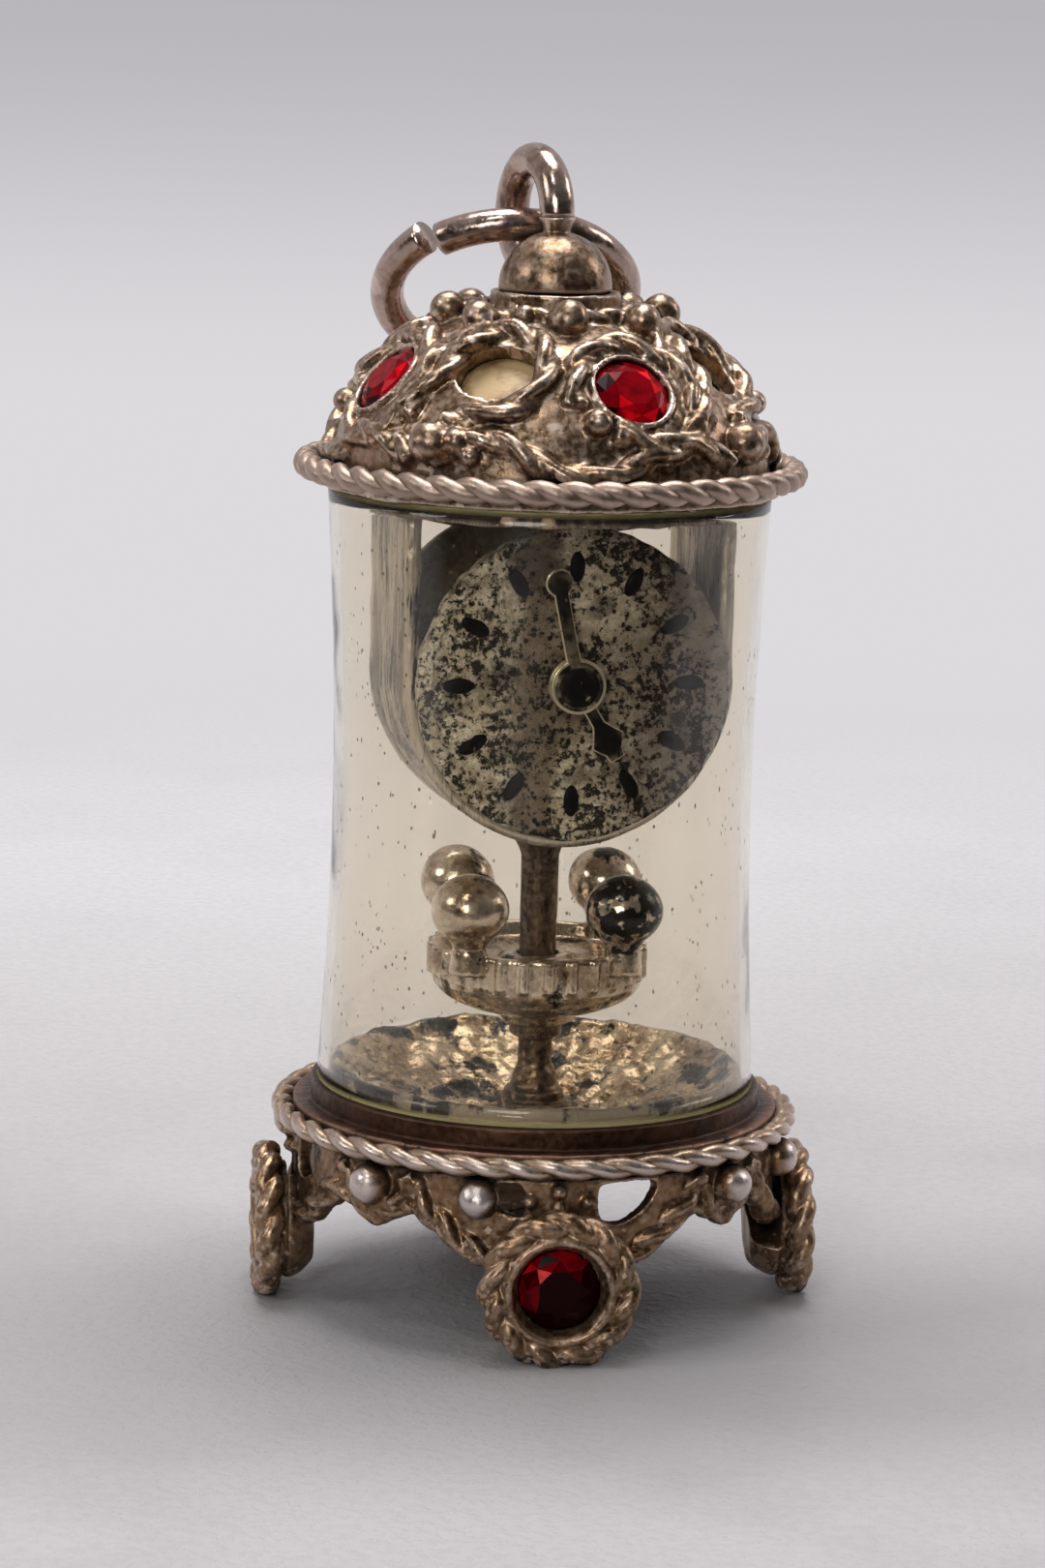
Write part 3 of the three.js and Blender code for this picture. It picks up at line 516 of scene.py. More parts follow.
@dataclass(frozen=True)
class MarbleFloor:
    """Pale grey stone that the charm stands on and that fades into the distance, painted darker round the
    charm as a painted shadow.

    What metal and glass reflect of it is dark far in front, as a room is, so that the tube stays clear.

    Beyond the fade it takes the colours of an upright screen, from the horizon up to the pale distance, as
    an eye in front of the charm would see them through the floor.
    """

    name: str = "pale_stone_floor"
    # Tone of the painted shadow round the charm.
    near: Colour = srgb(172, 169, 170)
    middle: Colour = srgb(194, 191, 192)
    far: Colour = srgb(224, 222, 223)
    dusk: Colour = srgb(52, 46, 43)
    vein: Colour = srgb(150, 147, 148)
    horizon: Colour = srgb(220, 218, 221)
    distance: Colour = srgb(184, 181, 186)
    fade: tuple[float, float] = (50.0, 115.0)
    eye_height: float = 34.0
    eye_distance: float = 118.0
    screen_distance: float = 267.86
    screen_rise: tuple[float, float] = (8.0, 33.0)

    def make(self) -> Material:
        """Build the material.

        Returns:
            The material.
        """
        n = MaterialNodes(self.name)
        reach = n.part(n.place, "Y")
        out = n.from_point((0.0, 0.0, 0.0))
        colour = n.blend(n.spread(reach, 10.0, 70.0), self.middle, self.far)
        # Painted shadow: the near tone darkens the floor round the charm, from a little in front of it to a
        # little behind.
        colour = n.blend(n.spread(reach, -3.0, 11.0, 1.0, 0.0), colour, self.near)
        colour = n.blend(n.spread(reach, -20.0, -10.0, 1.0, 0.0), colour, self.middle)
        clouds = n.spread(n.mottle(0.06, 5.0, rough=0.6), 0.42, 0.68)
        strong = n.spread(reach, -10.0, 45.0, 0.3, 0.08)
        colour = n.blend(n.times(clouds, strong), colour, self.vein)
        grain = n.spread(n.mottle(3.0, 4.0), 0.4, 0.7)
        colour = n.blend(n.times(grain, 0.1), colour, self.vein)
        dim = n.blend(n.spread(reach, -50.0, -25.0, 1.0, 0.0), colour, self.dusk)
        lit, reflected = (
            n.surface(tone, 0.5, n.bump(grain, 0.02), Specular_IOR_Level=0.3) for tone in (colour, dim)
        )
        haze = n.add("ShaderNodeEmission", {"Color": self.horizon, "Strength": 1.0})
        reflected = n.between(n.spread(reach, *self.fade), reflected, haze)
        drop = n.maths("DIVIDE", self.eye_height * self.screen_distance, n.plus(out, self.eye_distance))
        up = n.minus(self.eye_height, drop)
        pale = n.blend(n.spread(up, *self.screen_rise), self.horizon, self.distance)
        away = n.add("ShaderNodeEmission", {"Color": pale, "Strength": 1.0})
        lit = n.between(n.spread(out, *self.fade), lit, away)
        return n.finish(n.between(n.seen(), reflected, lit))


@dataclass(frozen=True)
class PittedDial:
    """Grey plated dial, pitted with black, darker towards its right and brown round its middle.

    The brown has also run down in a line a little left of the middle.
    """

    name: str = "pitted_dial"
    body: Colour = srgb(204, 193, 170)
    bright: Colour = srgb(255, 251, 238)
    darker_right_tone: Colour = srgb(116, 105, 100)
    brown: Colour = srgb(100, 78, 56)
    smudge: Colour = srgb(62, 52, 42)
    pit: Colour = (0.004, 0.003, 0.003)
    centre: Point = (0.0, -2.7, 16.33)
    run_from_middle: float = 0.55

    def make(self) -> Material:
        """Build the material.

        Returns:
            The material.
        """
        n = MaterialNodes(self.name)
        across = n.part(n.place, "X")
        drift = n.times(n.minus(n.mottle(0.7, 3.0), 0.5), 3.0)
        # Darker towards the right, along a wavy line.
        towards_right = n.spread(n.plus(across, drift), 0.3, 2.6, 0.0, 0.8)
        stained = n.spread(n.plus(n.from_point(self.centre), drift), 0.5, 2.2, 0.85, 0.0)
        off_line = n.plus(n.plus(across, self.run_from_middle), n.times(drift, 0.4))
        stained = n.larger(stained, n.spread(n.maths("ABSOLUTE", off_line), 0.25, 0.85, 0.8, 0.0))
        fine = n.mottle(4.5, 5.0, rough=0.7)
        ridges = n.spread(n.mottle(1.7, 5.0, (1.0, 1.0, 2.0), 0.7), 0.5, 0.58)
        raised = n.times(n.plus(n.spread(fine, 0.42, 0.62), ridges), 0.5)
        colour = n.blend(raised, self.body, self.bright)
        colour = n.blend(stained, colour, self.brown)
        colour = n.blend(towards_right, colour, self.darker_right_tone)
        smudges = n.spread(n.mottle(0.8, 4.0), 0.55, 0.66, 0.0, 0.6)
        colour = n.blend(smudges, colour, self.smudge)
        pitted = n.plus(n.mottle(4.4, 5.0, rough=0.8), n.times(n.mottle(0.6), 0.35))
        pits = n.times(n.spread(pitted, 0.69, 0.73), 0.95)
        holes = n.times(n.spread(n.cells(2.4), 0.12, 0.2, 1.0, 0.0), 0.95)
        black = n.larger(pits, holes)
        colour = n.blend(black, colour, self.pit)
        relief = n.minus(fine, n.times(black, 0.6))
        return n.finish(
            n.surface(
                colour,
                n.spread(fine, 0.3, 0.7, 0.35, 0.6),
                n.bump(relief, 0.2),
                Metallic=0.05,
                Specular_IOR_Level=n.spread(black, 0.0, 1.0, 0.5, 0.1),
            )
        )


@dataclass(frozen=True)
class PaleLining:
    """Dull cream surface, a little mottled."""

    name: str = "cream_lining"
    cream: Colour = srgb(206, 176, 128)
    shade: Colour = srgb(146, 108, 68)

    def make(self) -> Material:
        """Build the material.

        Returns:
            The material.
        """
        n = MaterialNodes(self.name)
        mottled = n.mottle(1.6, 4.0)
        colour = n.blend(n.spread(mottled, 0.4, 0.65), self.cream, self.shade)
        return n.finish(n.surface(colour, 0.45, n.bump(mottled, 0.05)))


class Finish(Enum):
    """The finishes of the charm and of what it stands on."""

    LID_SILVER = CastMetal(
        "lid_silver_cast", srgb(134, 105, 80), srgb(102, 78, 49), srgb(26, 14, 6), srgb(232, 210, 192),
        roughness=0.3,
    )
    ROPE_SILVER = CastMetal(
        "soft_rope_silver", srgb(152, 126, 106), srgb(118, 93, 70), srgb(44, 30, 20), srgb(198, 176, 162),
        roughness=0.42,
    )
    # Its edge tone is a painted highlight on the outermost beads and rope rim.
    BASE_SILVER = CastMetal(
        "base_silver_cast", srgb(130, 98, 68), srgb(94, 68, 42), srgb(30, 17, 8), srgb(210, 184, 160),
        roughness=0.32, edge_tone=(6.62, srgb(236, 224, 220)),
    )
    FOOT_SILVER = CastMetal(
        "foot_silver_cast", srgb(142, 110, 80), srgb(100, 75, 44), srgb(28, 16, 8), srgb(218, 194, 172),
        roughness=0.34,
    )
    COPPER = CastMetal(
        "copper_flushed_silver", srgb(136, 94, 72), srgb(88, 56, 38), srgb(30, 17, 10), srgb(186, 146, 124),
        roughness=0.4, patch_share=0.6, skin=0.02, black=0.3, ring_stain=(6.0, 6.5),
    )
    WIRE = CastMetal(
        "handled_silver_wire", srgb(172, 148, 134), srgb(140, 114, 98), srgb(50, 35, 27), srgb(210, 188, 178),
        roughness=0.18, patch_share=0.45, skin=0.008,
    )
    HAND_EDGE = CastMetal(
        "worn_hand_edge", srgb(222, 214, 190), srgb(170, 160, 134), srgb(150, 140, 116), srgb(250, 244, 226),
        roughness=0.34, patch_share=0.3, recess_reach=0.05,
    )
    DIAL = PittedDial()
    STRAP = CastMetal(
        "streaked_strap", srgb(186, 174, 156), srgb(96, 82, 66), srgb(24, 20, 17), srgb(240, 232, 216),
        roughness=0.3, patch_share=0.55, skin=0.025, black=0.48, streaks=True,
    )
    COVER = CastMetal(
        "dull_back_cover", srgb(168, 158, 140), srgb(120, 108, 90), srgb(40, 32, 25), srgb(214, 206, 190),
        roughness=0.45, patch_share=0.5, skin=0.02, black=0.2,
    )
    DARK = CastMetal(
        "dark_tarnish", srgb(92, 73, 56), srgb(50, 38, 28), srgb(14, 10, 7), srgb(196, 170, 138),
        roughness=0.34, patch_share=0.6, skin=0.012, black=0.3,
    )
    BALLS = CastMetal(
        "pendulum_silver", srgb(222, 208, 190), srgb(166, 142, 118), srgb(24, 18, 13), srgb(246, 238, 226),
        roughness=0.2, patch_share=0.45, skin=0.006, black=0.42, grain=0.9,
        spot_stain=((1.94, -1.94, 10.43), 1.1),
    )
    SPARKLE = CastMetal(
        "rough_bright_casting", srgb(188, 170, 144), srgb(140, 116, 88), srgb(44, 32, 22),
        srgb(246, 234, 216), roughness=0.27, patch_share=0.55, skin=0.03, black=0.52, grain=1.0,
        edge_tone=(5.08, srgb(66, 54, 40)),
    )
    LINING = PaleLining()
    ENAMEL = BlackEnamel()
    TUBE = AgedTube()
    STONE = RedStone()
    FLOOR = MarbleFloor()

    def material(self) -> Material:
        """The finish as a material, made once."""
        found = bpy.data.materials.get(self.value.name)
        return found if found is not None else self.value.make()


# Meshes


def at_angle(angle: float, distance: float, height: float) -> Vector:
    """A point at an angle round the charm, a distance from its axis and a height."""
    turn = math.radians(angle)
    return Vector((distance * math.sin(turn), -distance * math.cos(turn), height))


def level_ring(radius: float, height: float, count: int) -> list[Vector]:
    """Points of a level ring round the axis."""
    return [at_angle(360 / count * step, radius, height) for step in range(count)]


def rounded(profile: Profile, radius: float = 0.05) -> Profile:
    """Round the corners of a profile.

    Args:
        profile: Points from one end to the other.
        radius: Of each rounding, less where the sides are short.

    Returns:
        The profile with rounded corners.
    """
    steps, out = 3, [profile[0]]
    for before, corner, after in zip(profile, profile[1:], profile[2:]):
        here, back, on = Vector(corner), Vector(before), Vector(after)
        reach = min(radius, 0.45 * (back - here).length, 0.45 * (on - here).length)
        start = here + (back - here).normalized() * reach
        end = here + (on - here).normalized() * reach
        for step in range(steps + 1):
            t = step / steps
            point = start * (1 - t) ** 2 + here * 2 * t * (1 - t) + end * t * t
            out.append((point.x, point.y))
    out.append(profile[-1])
    return out


def linked(name: str, data: bpy.types.ID) -> Piece:
    """Put a mesh, camera or lamp into the scene."""
    made = bpy.data.objects.new(name, data)
    bpy.context.scene.collection.objects.link(made)
    return made


def make_object(name: str, vertices: Sequence, faces: Sequence, edges: Sequence = ()) -> Piece:
    """Make a mesh object from points in millimetres, its closed faces turned outwards.

    Args:
        name: The object's name.
        vertices: Points in millimetres.
        faces: Faces as point numbers.
        edges: Edges as point numbers, for a bare path.

    Returns:
        The linked object.
    """
    mesh = bpy.data.meshes.new(name)
    mesh.from_pydata([Vector(vertex) * MM for vertex in vertices], edges, faces)
    if faces:
        shell = bmesh.new()
        shell.from_mesh(mesh)
        bmesh.ops.recalc_face_normals(shell, faces=shell.faces)
        shell.to_mesh(mesh)
        shell.free()
        mesh.shade_smooth()
    return linked(name, mesh)


def turn_profile(name: str, profile: Profile, segments: int, closed: bool = False) -> Piece:
    """Turn a profile round the Z axis.

    Args:
        name: The object's name.
        profile: Points as radius and height; a radius of 0 makes a pole.
        segments: Facets round the axis.
        closed: Whether the last point joins the first.

    Returns:
        The turned piece.
    """
    vertices: list[Point] = []
    rings: list[list[int]] = []
    for radius, height in profile:
        if radius < 1e-6:
            rings.append([len(vertices)])
            vertices.append((0.0, 0.0, height))
            continue
        rings.append(list(range(len(vertices), len(vertices) + segments)))
        for step in range(segments):
            turn = 2 * math.pi * step / segments
            vertices.append((radius * math.cos(turn), radius * math.sin(turn), height))
    pairs = list(zip(rings, rings[1:])) + ([(rings[-1], rings[0])] if closed else [])
    faces = []
    for low, high in pairs:
        for step in range(segments):
            on = (step + 1) % segments
            if len(low) == 1 and len(high) == 1:
                break
            if len(low) == 1:
                faces.append((low[0], high[step], high[on]))
            elif len(high) == 1:
                faces.append((low[step], high[0], low[on]))
            else:
                faces.append((low[step], high[step], high[on], low[on]))
    return make_object(name, vertices, faces)


def sweep(name: str, points: Sequence[Vector], side: Vector, section: Profile) -> Piece:
    """Sweep a section along a path and close its ends.

    Args:
        name: The object's name.
        points: The path.
        side: A direction that stays square to the path.
        section: Points of the section, across the path and along side.

    Returns:
        The swept piece.
    """
    vertices, faces = [], []
    last, sides = len(points) - 1, len(section)
    for index, point in enumerate(points):
        along = points[min(index + 1, last)] - points[max(index - 1, 0)]
        across = along.normalized().cross(side).normalized()
        vertices += [point + across * u + side * v for u, v in section]
    for row in range(last):
        low, high = row * sides, (row + 1) * sides
        for step in range(sides):
            on = (step + 1) % sides
            faces.append((low + step, low + on, high + on, high + step))
    faces.append(tuple(range(sides)))
    faces.append(tuple(range(last * sides, len(points) * sides)))
    return make_object(name, vertices, faces)


def prism(name: str, low: Sequence, high: Sequence) -> Piece:
    """Close the space between two outlines that have as many points.

    Args:
        name: The object's name.
        low: Points of the first outline.
        high: Points of the second.

    Returns:
        The closed piece.
    """
    count = len(low)
    walls = [(i, (i + 1) % count, count + (i + 1) % count, count + i) for i in range(count)]
    caps = [tuple(range(count)), tuple(range(count, 2 * count))]
    return make_object(name, [*low, *high], walls + caps)


def round_section(radius: float, sides: int) -> Profile:
    """Points of a round section."""
    turns = [2 * math.pi * step / sides for step in range(sides)]
    return [(radius * math.cos(turn), radius * math.sin(turn)) for turn in turns]


def smooth_route(points: Sequence[Vector], steps: int = 8, closed: bool = False) -> list[Vector]:
    """Run a smooth curve through points.

    Args:
        points: What the curve passes through.
        steps: Points on each stretch.
        closed: Whether it joins its own start.

    Returns:
        Points of the curve.
    """
    count = len(points)

    def pick(index: int) -> Vector:
        """The point at an index, past the ends too."""
        return points[index % count] if closed else points[max(0, min(count - 1, index))]

    out = []
    for index in range(count if closed else count - 1):
        a, b, c, d = (pick(index + shift) for shift in (-1, 0, 1, 2))
        for step in range(steps):
            t = step / steps
            square, cube = 2 * a - 5 * b + 4 * c - d, 3 * b - a - 3 * c + d
            out.append(0.5 * (2 * b + (c - a) * t + square * t * t + cube * t**3))
    if not closed:
        out.append(points[-1].copy())
    return out


def path_object(name: str, points: Sequence[Vector], closed: bool = False) -> Piece:
    """A bare path, for the trees that follow one.

    Args:
        name: The object's name.
        points: The path.
        closed: Whether it closes.

    Returns:
        The path as edges.
    """
    edges = [(index, index + 1) for index in range(len(points) - 1)]
    if closed:
        edges.append((len(points) - 1, 0))
    return make_object(name, points, (), edges)


def spots_object(name: str, spots: Sequence[tuple[Vector, float]]) -> Piece:
    """Bare points with a size each, for the beads.

    Args:
        name: The object's name.
        spots: Places, each with a radius.

    Returns:
        The points.
    """
    made = make_object(name, [centre for centre, _ in spots], ())
    sizes = made.data.attributes.new("size", "FLOAT", "POINT")
    sizes.data.foreach_set("value", [size * MM for _, size in spots])
    return made


def move_mesh(piece: Piece, matrix: Matrix) -> Piece:
    """Move a piece's mesh, in millimetres, and leave its object at the origin."""
    scaled = Matrix.Scale(MM, 4) @ matrix @ Matrix.Scale(1 / MM, 4)
    piece.data.transform(scaled)
    return piece


def merge(name: str, pieces: Sequence[Piece]) -> Piece:
    """Make one object of several and remove them.

    Args:
        name: Name of the whole.
        pieces: What goes into it.

    Returns:
        The whole.
    """
    whole = bmesh.new()
    for piece in pieces:
        whole.from_mesh(piece.data)
    mesh = bpy.data.meshes.new(name)
    whole.to_mesh(mesh)
    whole.free()
    mesh.shade_smooth()
    made = linked(name, mesh)
    for piece in pieces:
        bpy.data.objects.remove(piece)
    return made


def bake_modifiers(piece: Piece) -> Piece:
    """Replace a piece's mesh with the result of its modifiers, and take them off.

    Args:
        piece: The piece.

    Returns:
        The same piece.
    """
    bpy.context.view_layer.update()
    ready = piece.evaluated_get(bpy.context.evaluated_depsgraph_get())
    mesh = bpy.data.meshes.new_from_object(ready)
    piece.modifiers.clear()
    piece.data = mesh
    mesh.shade_smooth()
    return piece


def cut_out(piece: Piece, cutters: Sequence[Piece]) -> Piece:
    """Cut closed forms out of a piece and remove them.

    Args:
        piece: What is cut.
        cutters: The forms, which don't overlap.

    Returns:
        The same piece with its openings.
    """
    knife = merge("cutters", cutters)
    cut = piece.modifiers.new("openings", "BOOLEAN")
    cut.operation = "DIFFERENCE"
    cut.solver = "EXACT"
    cut.object = knife
    bake_modifiers(piece)
    bpy.data.objects.remove(knife)
    return piece


def cast_together(piece: Piece, voxel: float, soften: int) -> Piece:
    """Fuse overlapping forms into one skin with soft inner corners, as a casting has.

    A skin with too many triangles is thinned, which its flat stretches show least.

    Args:
        piece: Closed forms that overlap.
        voxel: Size of the skin's cells.
        soften: Rounds of smoothing.

    Returns:
        The same piece with its fused mesh.
    """
    remesh = piece.modifiers.new("fuse", "REMESH")
    remesh.mode = "VOXEL"
    remesh.voxel_size = voxel * MM
    relax = piece.modifiers.new("soften", "SMOOTH")
    relax.factor = 0.5
    relax.iterations = soften
    bake_modifiers(piece)
    triangles = 2 * len(piece.data.polygons)
    if triangles > MOST_TRIANGLES:
        thin = piece.modifiers.new("thin", "DECIMATE")
        thin.ratio = MOST_TRIANGLES / triangles
        bake_modifiers(piece)
    return piece


def roughen(piece: Piece, depth: float, scale: float, seed: float) -> None:
    """Push the surface in and out by smooth noise.

    Args:
        piece: What is roughened.
        depth: Most that a point moves.
        scale: Lumps in a millimetre.
        seed: Shifts the pattern.
    """
    mesh = piece.data
    shift = Vector((seed, seed * 1.7, -seed))
    moved = []
    for vertex in mesh.vertices:
        lump = noise.noise(vertex.co / MM * scale + shift)
        moved.extend(vertex.co + vertex.normal * lump * depth * MM)
    mesh.vertices.foreach_set("co", moved)
    mesh.update()


# Geometry Nodes


class GeometryTree(Nodes):
    """A Geometry Nodes tree with named inputs that ends in Realize Instances and Set Material."""

    def __init__(self, name: str, inputs: dict[str, str]) -> None:
        """Make the tree and its inputs.

        Args:
            name: The tree's name.
            inputs: Input name to the end of its socket type, such as Float.
        """
        super().__init__(bpy.data.node_groups.new(name, "GeometryNodeTree"))
        face = self.tree.interface
        face.new_socket("Geometry", in_out="INPUT", socket_type="NodeSocketGeometry")
        for label, kind in {**inputs, "Finish": "Material"}.items():
            face.new_socket(label, in_out="INPUT", socket_type=f"NodeSocket{kind}")
        face.new_socket("Geometry", in_out="OUTPUT", socket_type="NodeSocketGeometry")
        self.given = self.add("NodeGroupInput").outputs
        self.result = self.add("NodeGroupOutput")

    def end(self, shape: object) -> None:
        """Realize, smooth and dress a shape and send it out."""
        real = self.add("GeometryNodeRealizeInstances", {0: shape})
        smooth = self.add("GeometryNodeSetShadeSmooth", {"Geometry": real})
        dressed = self.add("GeometryNodeSetMaterial", {"Geometry": smooth, "Material": self.given["Finish"]})
        self.feed(self.result.inputs[0], dressed)

    def apply(self, piece: Piece, finish: Finish, **values: float) -> Piece:
        """Run the tree on a piece and keep the plain mesh.

        Args:
            piece: What the tree works on.
            finish: Material of the result.
            values: Input names, with _ for a space, to their values.

        Returns:
            The same piece with the tree's mesh.
        """
        modifier = piece.modifiers.new("tree", "NODES")
        modifier.node_group = self.tree
        items = self.tree.interface.items_tree
        sockets = {item.name: item.identifier for item in items if item.in_out == "INPUT"}
        for key, value in values.items():
            modifier[sockets[key.replace("_", " ")]] = value
        modifier[sockets["Finish"]] = finish.material()
        return bake_modifiers(piece)


def rope_tree() -> GeometryTree:
    """Two strands laid round a path, each a lumpy wire.

    Returns:
        The tree, for paths.
    """
    labels = ("Strand radius", "Lay radius", "Pitch", "Lumps", "Seed")
    t = GeometryTree("rope_of_two_strands", {label: "Float" for label in labels})
    given = t.given
    curve = t.add("GeometryNodeMeshToCurve", {0: given["Geometry"]})
    stretch = t.times(given["Pitch"], 0.12)
    fine = t.add("GeometryNodeResampleCurve", {"Curve": curve, "Length": stretch}, mode="LENGTH")
    along = t.add("GeometryNodeSplineParameter").outputs["Length"]
    turn = t.times(t.maths("DIVIDE", along, given["Pitch"]), math.pi)
    normal = t.add("GeometryNodeInputNormal").outputs[0]
    tangent = t.add("GeometryNodeInputTangent").outputs[0]
    binormal = t.vector("CROSS_PRODUCT", tangent, normal)
    cosine, sine = t.maths("COSINE", turn), t.maths("SINE", turn)
    swing = t.vector("ADD", t.scaled(normal, cosine), t.scaled(binormal, sine))
    reach = t.scaled(swing, given["Lay radius"])
    place = t.add("GeometryNodeInputPosition").outputs[0]
    lump = t.add(
        "ShaderNodeTexNoise",
        {"Vector": t.scaled(place, 1 / MM), "W": given["Seed"], "Scale": 1.1, "Detail": 1.0},
        noise_dimensions="4D",
    ).outputs[0]
    swell = t.plus(1.0, t.times(t.minus(lump, 0.5), given["Lumps"]))
    strands = []
    for way in (1.0, -1.0):
        strand = t.add("GeometryNodeSetPosition", {"Geometry": fine, "Offset": t.scaled(reach, way)})
        thick = t.add("GeometryNodeSetCurveRadius", {0: strand, "Radius": swell})
        section = {"Resolution": 10, "Radius": given["Strand radius"]}
        circle = t.add("GeometryNodeCurvePrimitiveCircle", section)
        wire = {"Curve": thick, "Profile Curve": circle, "Fill Caps": True}
        strands.append(t.add("GeometryNodeCurveToMesh", wire))
    both = t.add("GeometryNodeJoinGeometry")
    for strand in strands:
        t.tree.links.new(strand.outputs[0], both.inputs[0])
    t.end(both)
    return t


def bead_tree() -> GeometryTree:
    """A ball on each point, of the point's own size.

    Returns:
        The tree, for bare points with a size.
    """
    t = GeometryTree("beads_on_points", {"Seed": "Int"})
    points = t.add("GeometryNodeMeshToPoints", {0: t.given["Geometry"]})
    ball = t.add("GeometryNodeMeshIcoSphere", {"Radius": 1.0, "Subdivisions": 4})
    size = t.add("GeometryNodeInputNamedAttribute", {"Name": "size"}, data_type="FLOAT").outputs[0]
    wobble = t.add("FunctionNodeRandomValue", {2: 0.94, 3: 1.05, "Seed": t.given["Seed"]}, data_type="FLOAT")
    scale = t.times(size, wobble.outputs[1])
    t.end(t.add("GeometryNodeInstanceOnPoints", {"Points": points, "Instance": ball, "Scale": scale}))
    return t


def ring_tree() -> GeometryTree:
    """Copies of a shape in a level ring, each turned to face outwards.

    Returns:
        The tree, for the shape that is repeated, made at the origin with +Y outwards.
    """
    t = GeometryTree("copies_in_a_ring", {"Count": "Int", "Ring radius": "Float", "Height": "Float"})
    circle = t.add("GeometryNodeMeshCircle", {"Vertices": t.given["Count"], "Radius": t.given["Ring radius"]})
    lift = t.add("ShaderNodeCombineXYZ", {"Z": t.given["Height"]})
    lifted = t.add("GeometryNodeSetPosition", {"Geometry": circle, "Offset": lift})
    place = t.add("GeometryNodeInputPosition").outputs[0]
    outward = t.vector("MULTIPLY", place, (1.0, 1.0, 0.0))
    facing = t.add("FunctionNodeAlignRotationToVector", {"Vector": outward}, axis="Y", pivot_axis="Z")
    copies = {"Points": lifted, "Instance": t.given["Geometry"], "Rotation": facing.outputs[0]}
    t.end(t.add("GeometryNodeInstanceOnPoints", copies))
    return t


# Sub-assemblies


@dataclass(frozen=True)
class Trees:
    """The Geometry Nodes trees, built once."""

    rope: GeometryTree = field(default_factory=rope_tree)
    beads: GeometryTree = field(default_factory=bead_tree)
    ring: GeometryTree = field(default_factory=ring_tree)


@dataclass(frozen=True)
class Rope:
    """A rope of two strands.

    Attributes:
        strand: Radius of a strand.
        lay: Radius that the strands turn round.
        pitch: Length of half a turn, from one strand to the next.
        lumps: How uneven the strands are.
    """

    strand: float
    lay: float
    pitch: float
    lumps: float

    @classmethod
    def in_ring(cls, circle: float, count: int, strand: float, lay: float, lumps: float) -> "Rope":
        """A rope that shows its strands a number of times round a circle."""
        return cls(strand, lay, 2 * math.pi * circle / count, lumps)


@dataclass(frozen=True)
class Wire:
    """A rope over a domed or round surface.

    Attributes:
        label: Its name.
        lift: How far its middle is off the surface.
        rope: Its sizes.
        route: Angles round the charm, from the nearest quarter, and heights.
    """

    label: str
    lift: float
    rope: Rope
    route: Marks


@dataclass
class SubAssembly:
    """Common ways of making and handing over finished pieces.

    Attributes:
        trees: The Geometry Nodes trees.
        turn: How far it is turned round the charm's axis.
    """

    trees: Trees
    turn: float = 0.0

    def turned(self, piece: Piece) -> Piece:
        """Turn a piece made facing -Y to the sub-assembly's own angle."""
        return move_mesh(piece, Matrix.Rotation(math.radians(self.turn), 4, "Z"))

    def lay_rope(
        self,
        name: str,
        route: Sequence[Vector],
        rope: Rope,
        finish: Finish,
        seed: float,
        closed: bool = False,
    ) -> Piece:
        """Lay a rope along a route.

        Args:
            name: The object's name.
            route: Points of the route.
            rope: The rope's sizes.
            finish: Its finish.
            seed: Picks its lumps.
            closed: Whether the route joins its own start.

        Returns:
            The rope.
        """
        return self.trees.rope.apply(
            path_object(name, route, closed),
            finish,
            Strand_radius=rope.strand * MM,
            Lay_radius=rope.lay * MM,
            Pitch=rope.pitch * MM,
            Lumps=rope.lumps,
            Seed=seed,
        )

    def hand_over(
        self, piece: Piece, finish: Finish, slot: str, replaced: Sequence[str] = (), body: str = "case"
    ) -> None:
        """Dress a finished piece and give it to its body.

        Args:
            piece: The finished mesh object.
            finish: Its finish.
            slot: Not used.
            replaced: Nodes that it stands for.
            body: The body it moves with.
        """
        piece.data.materials.clear()
        piece.data.materials.append(finish.material())
        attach(piece, body)
        if replaced:
            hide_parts(*replaced)
        log.info("%s: %d faces, moves with %s", piece.name, len(piece.data.polygons), body)


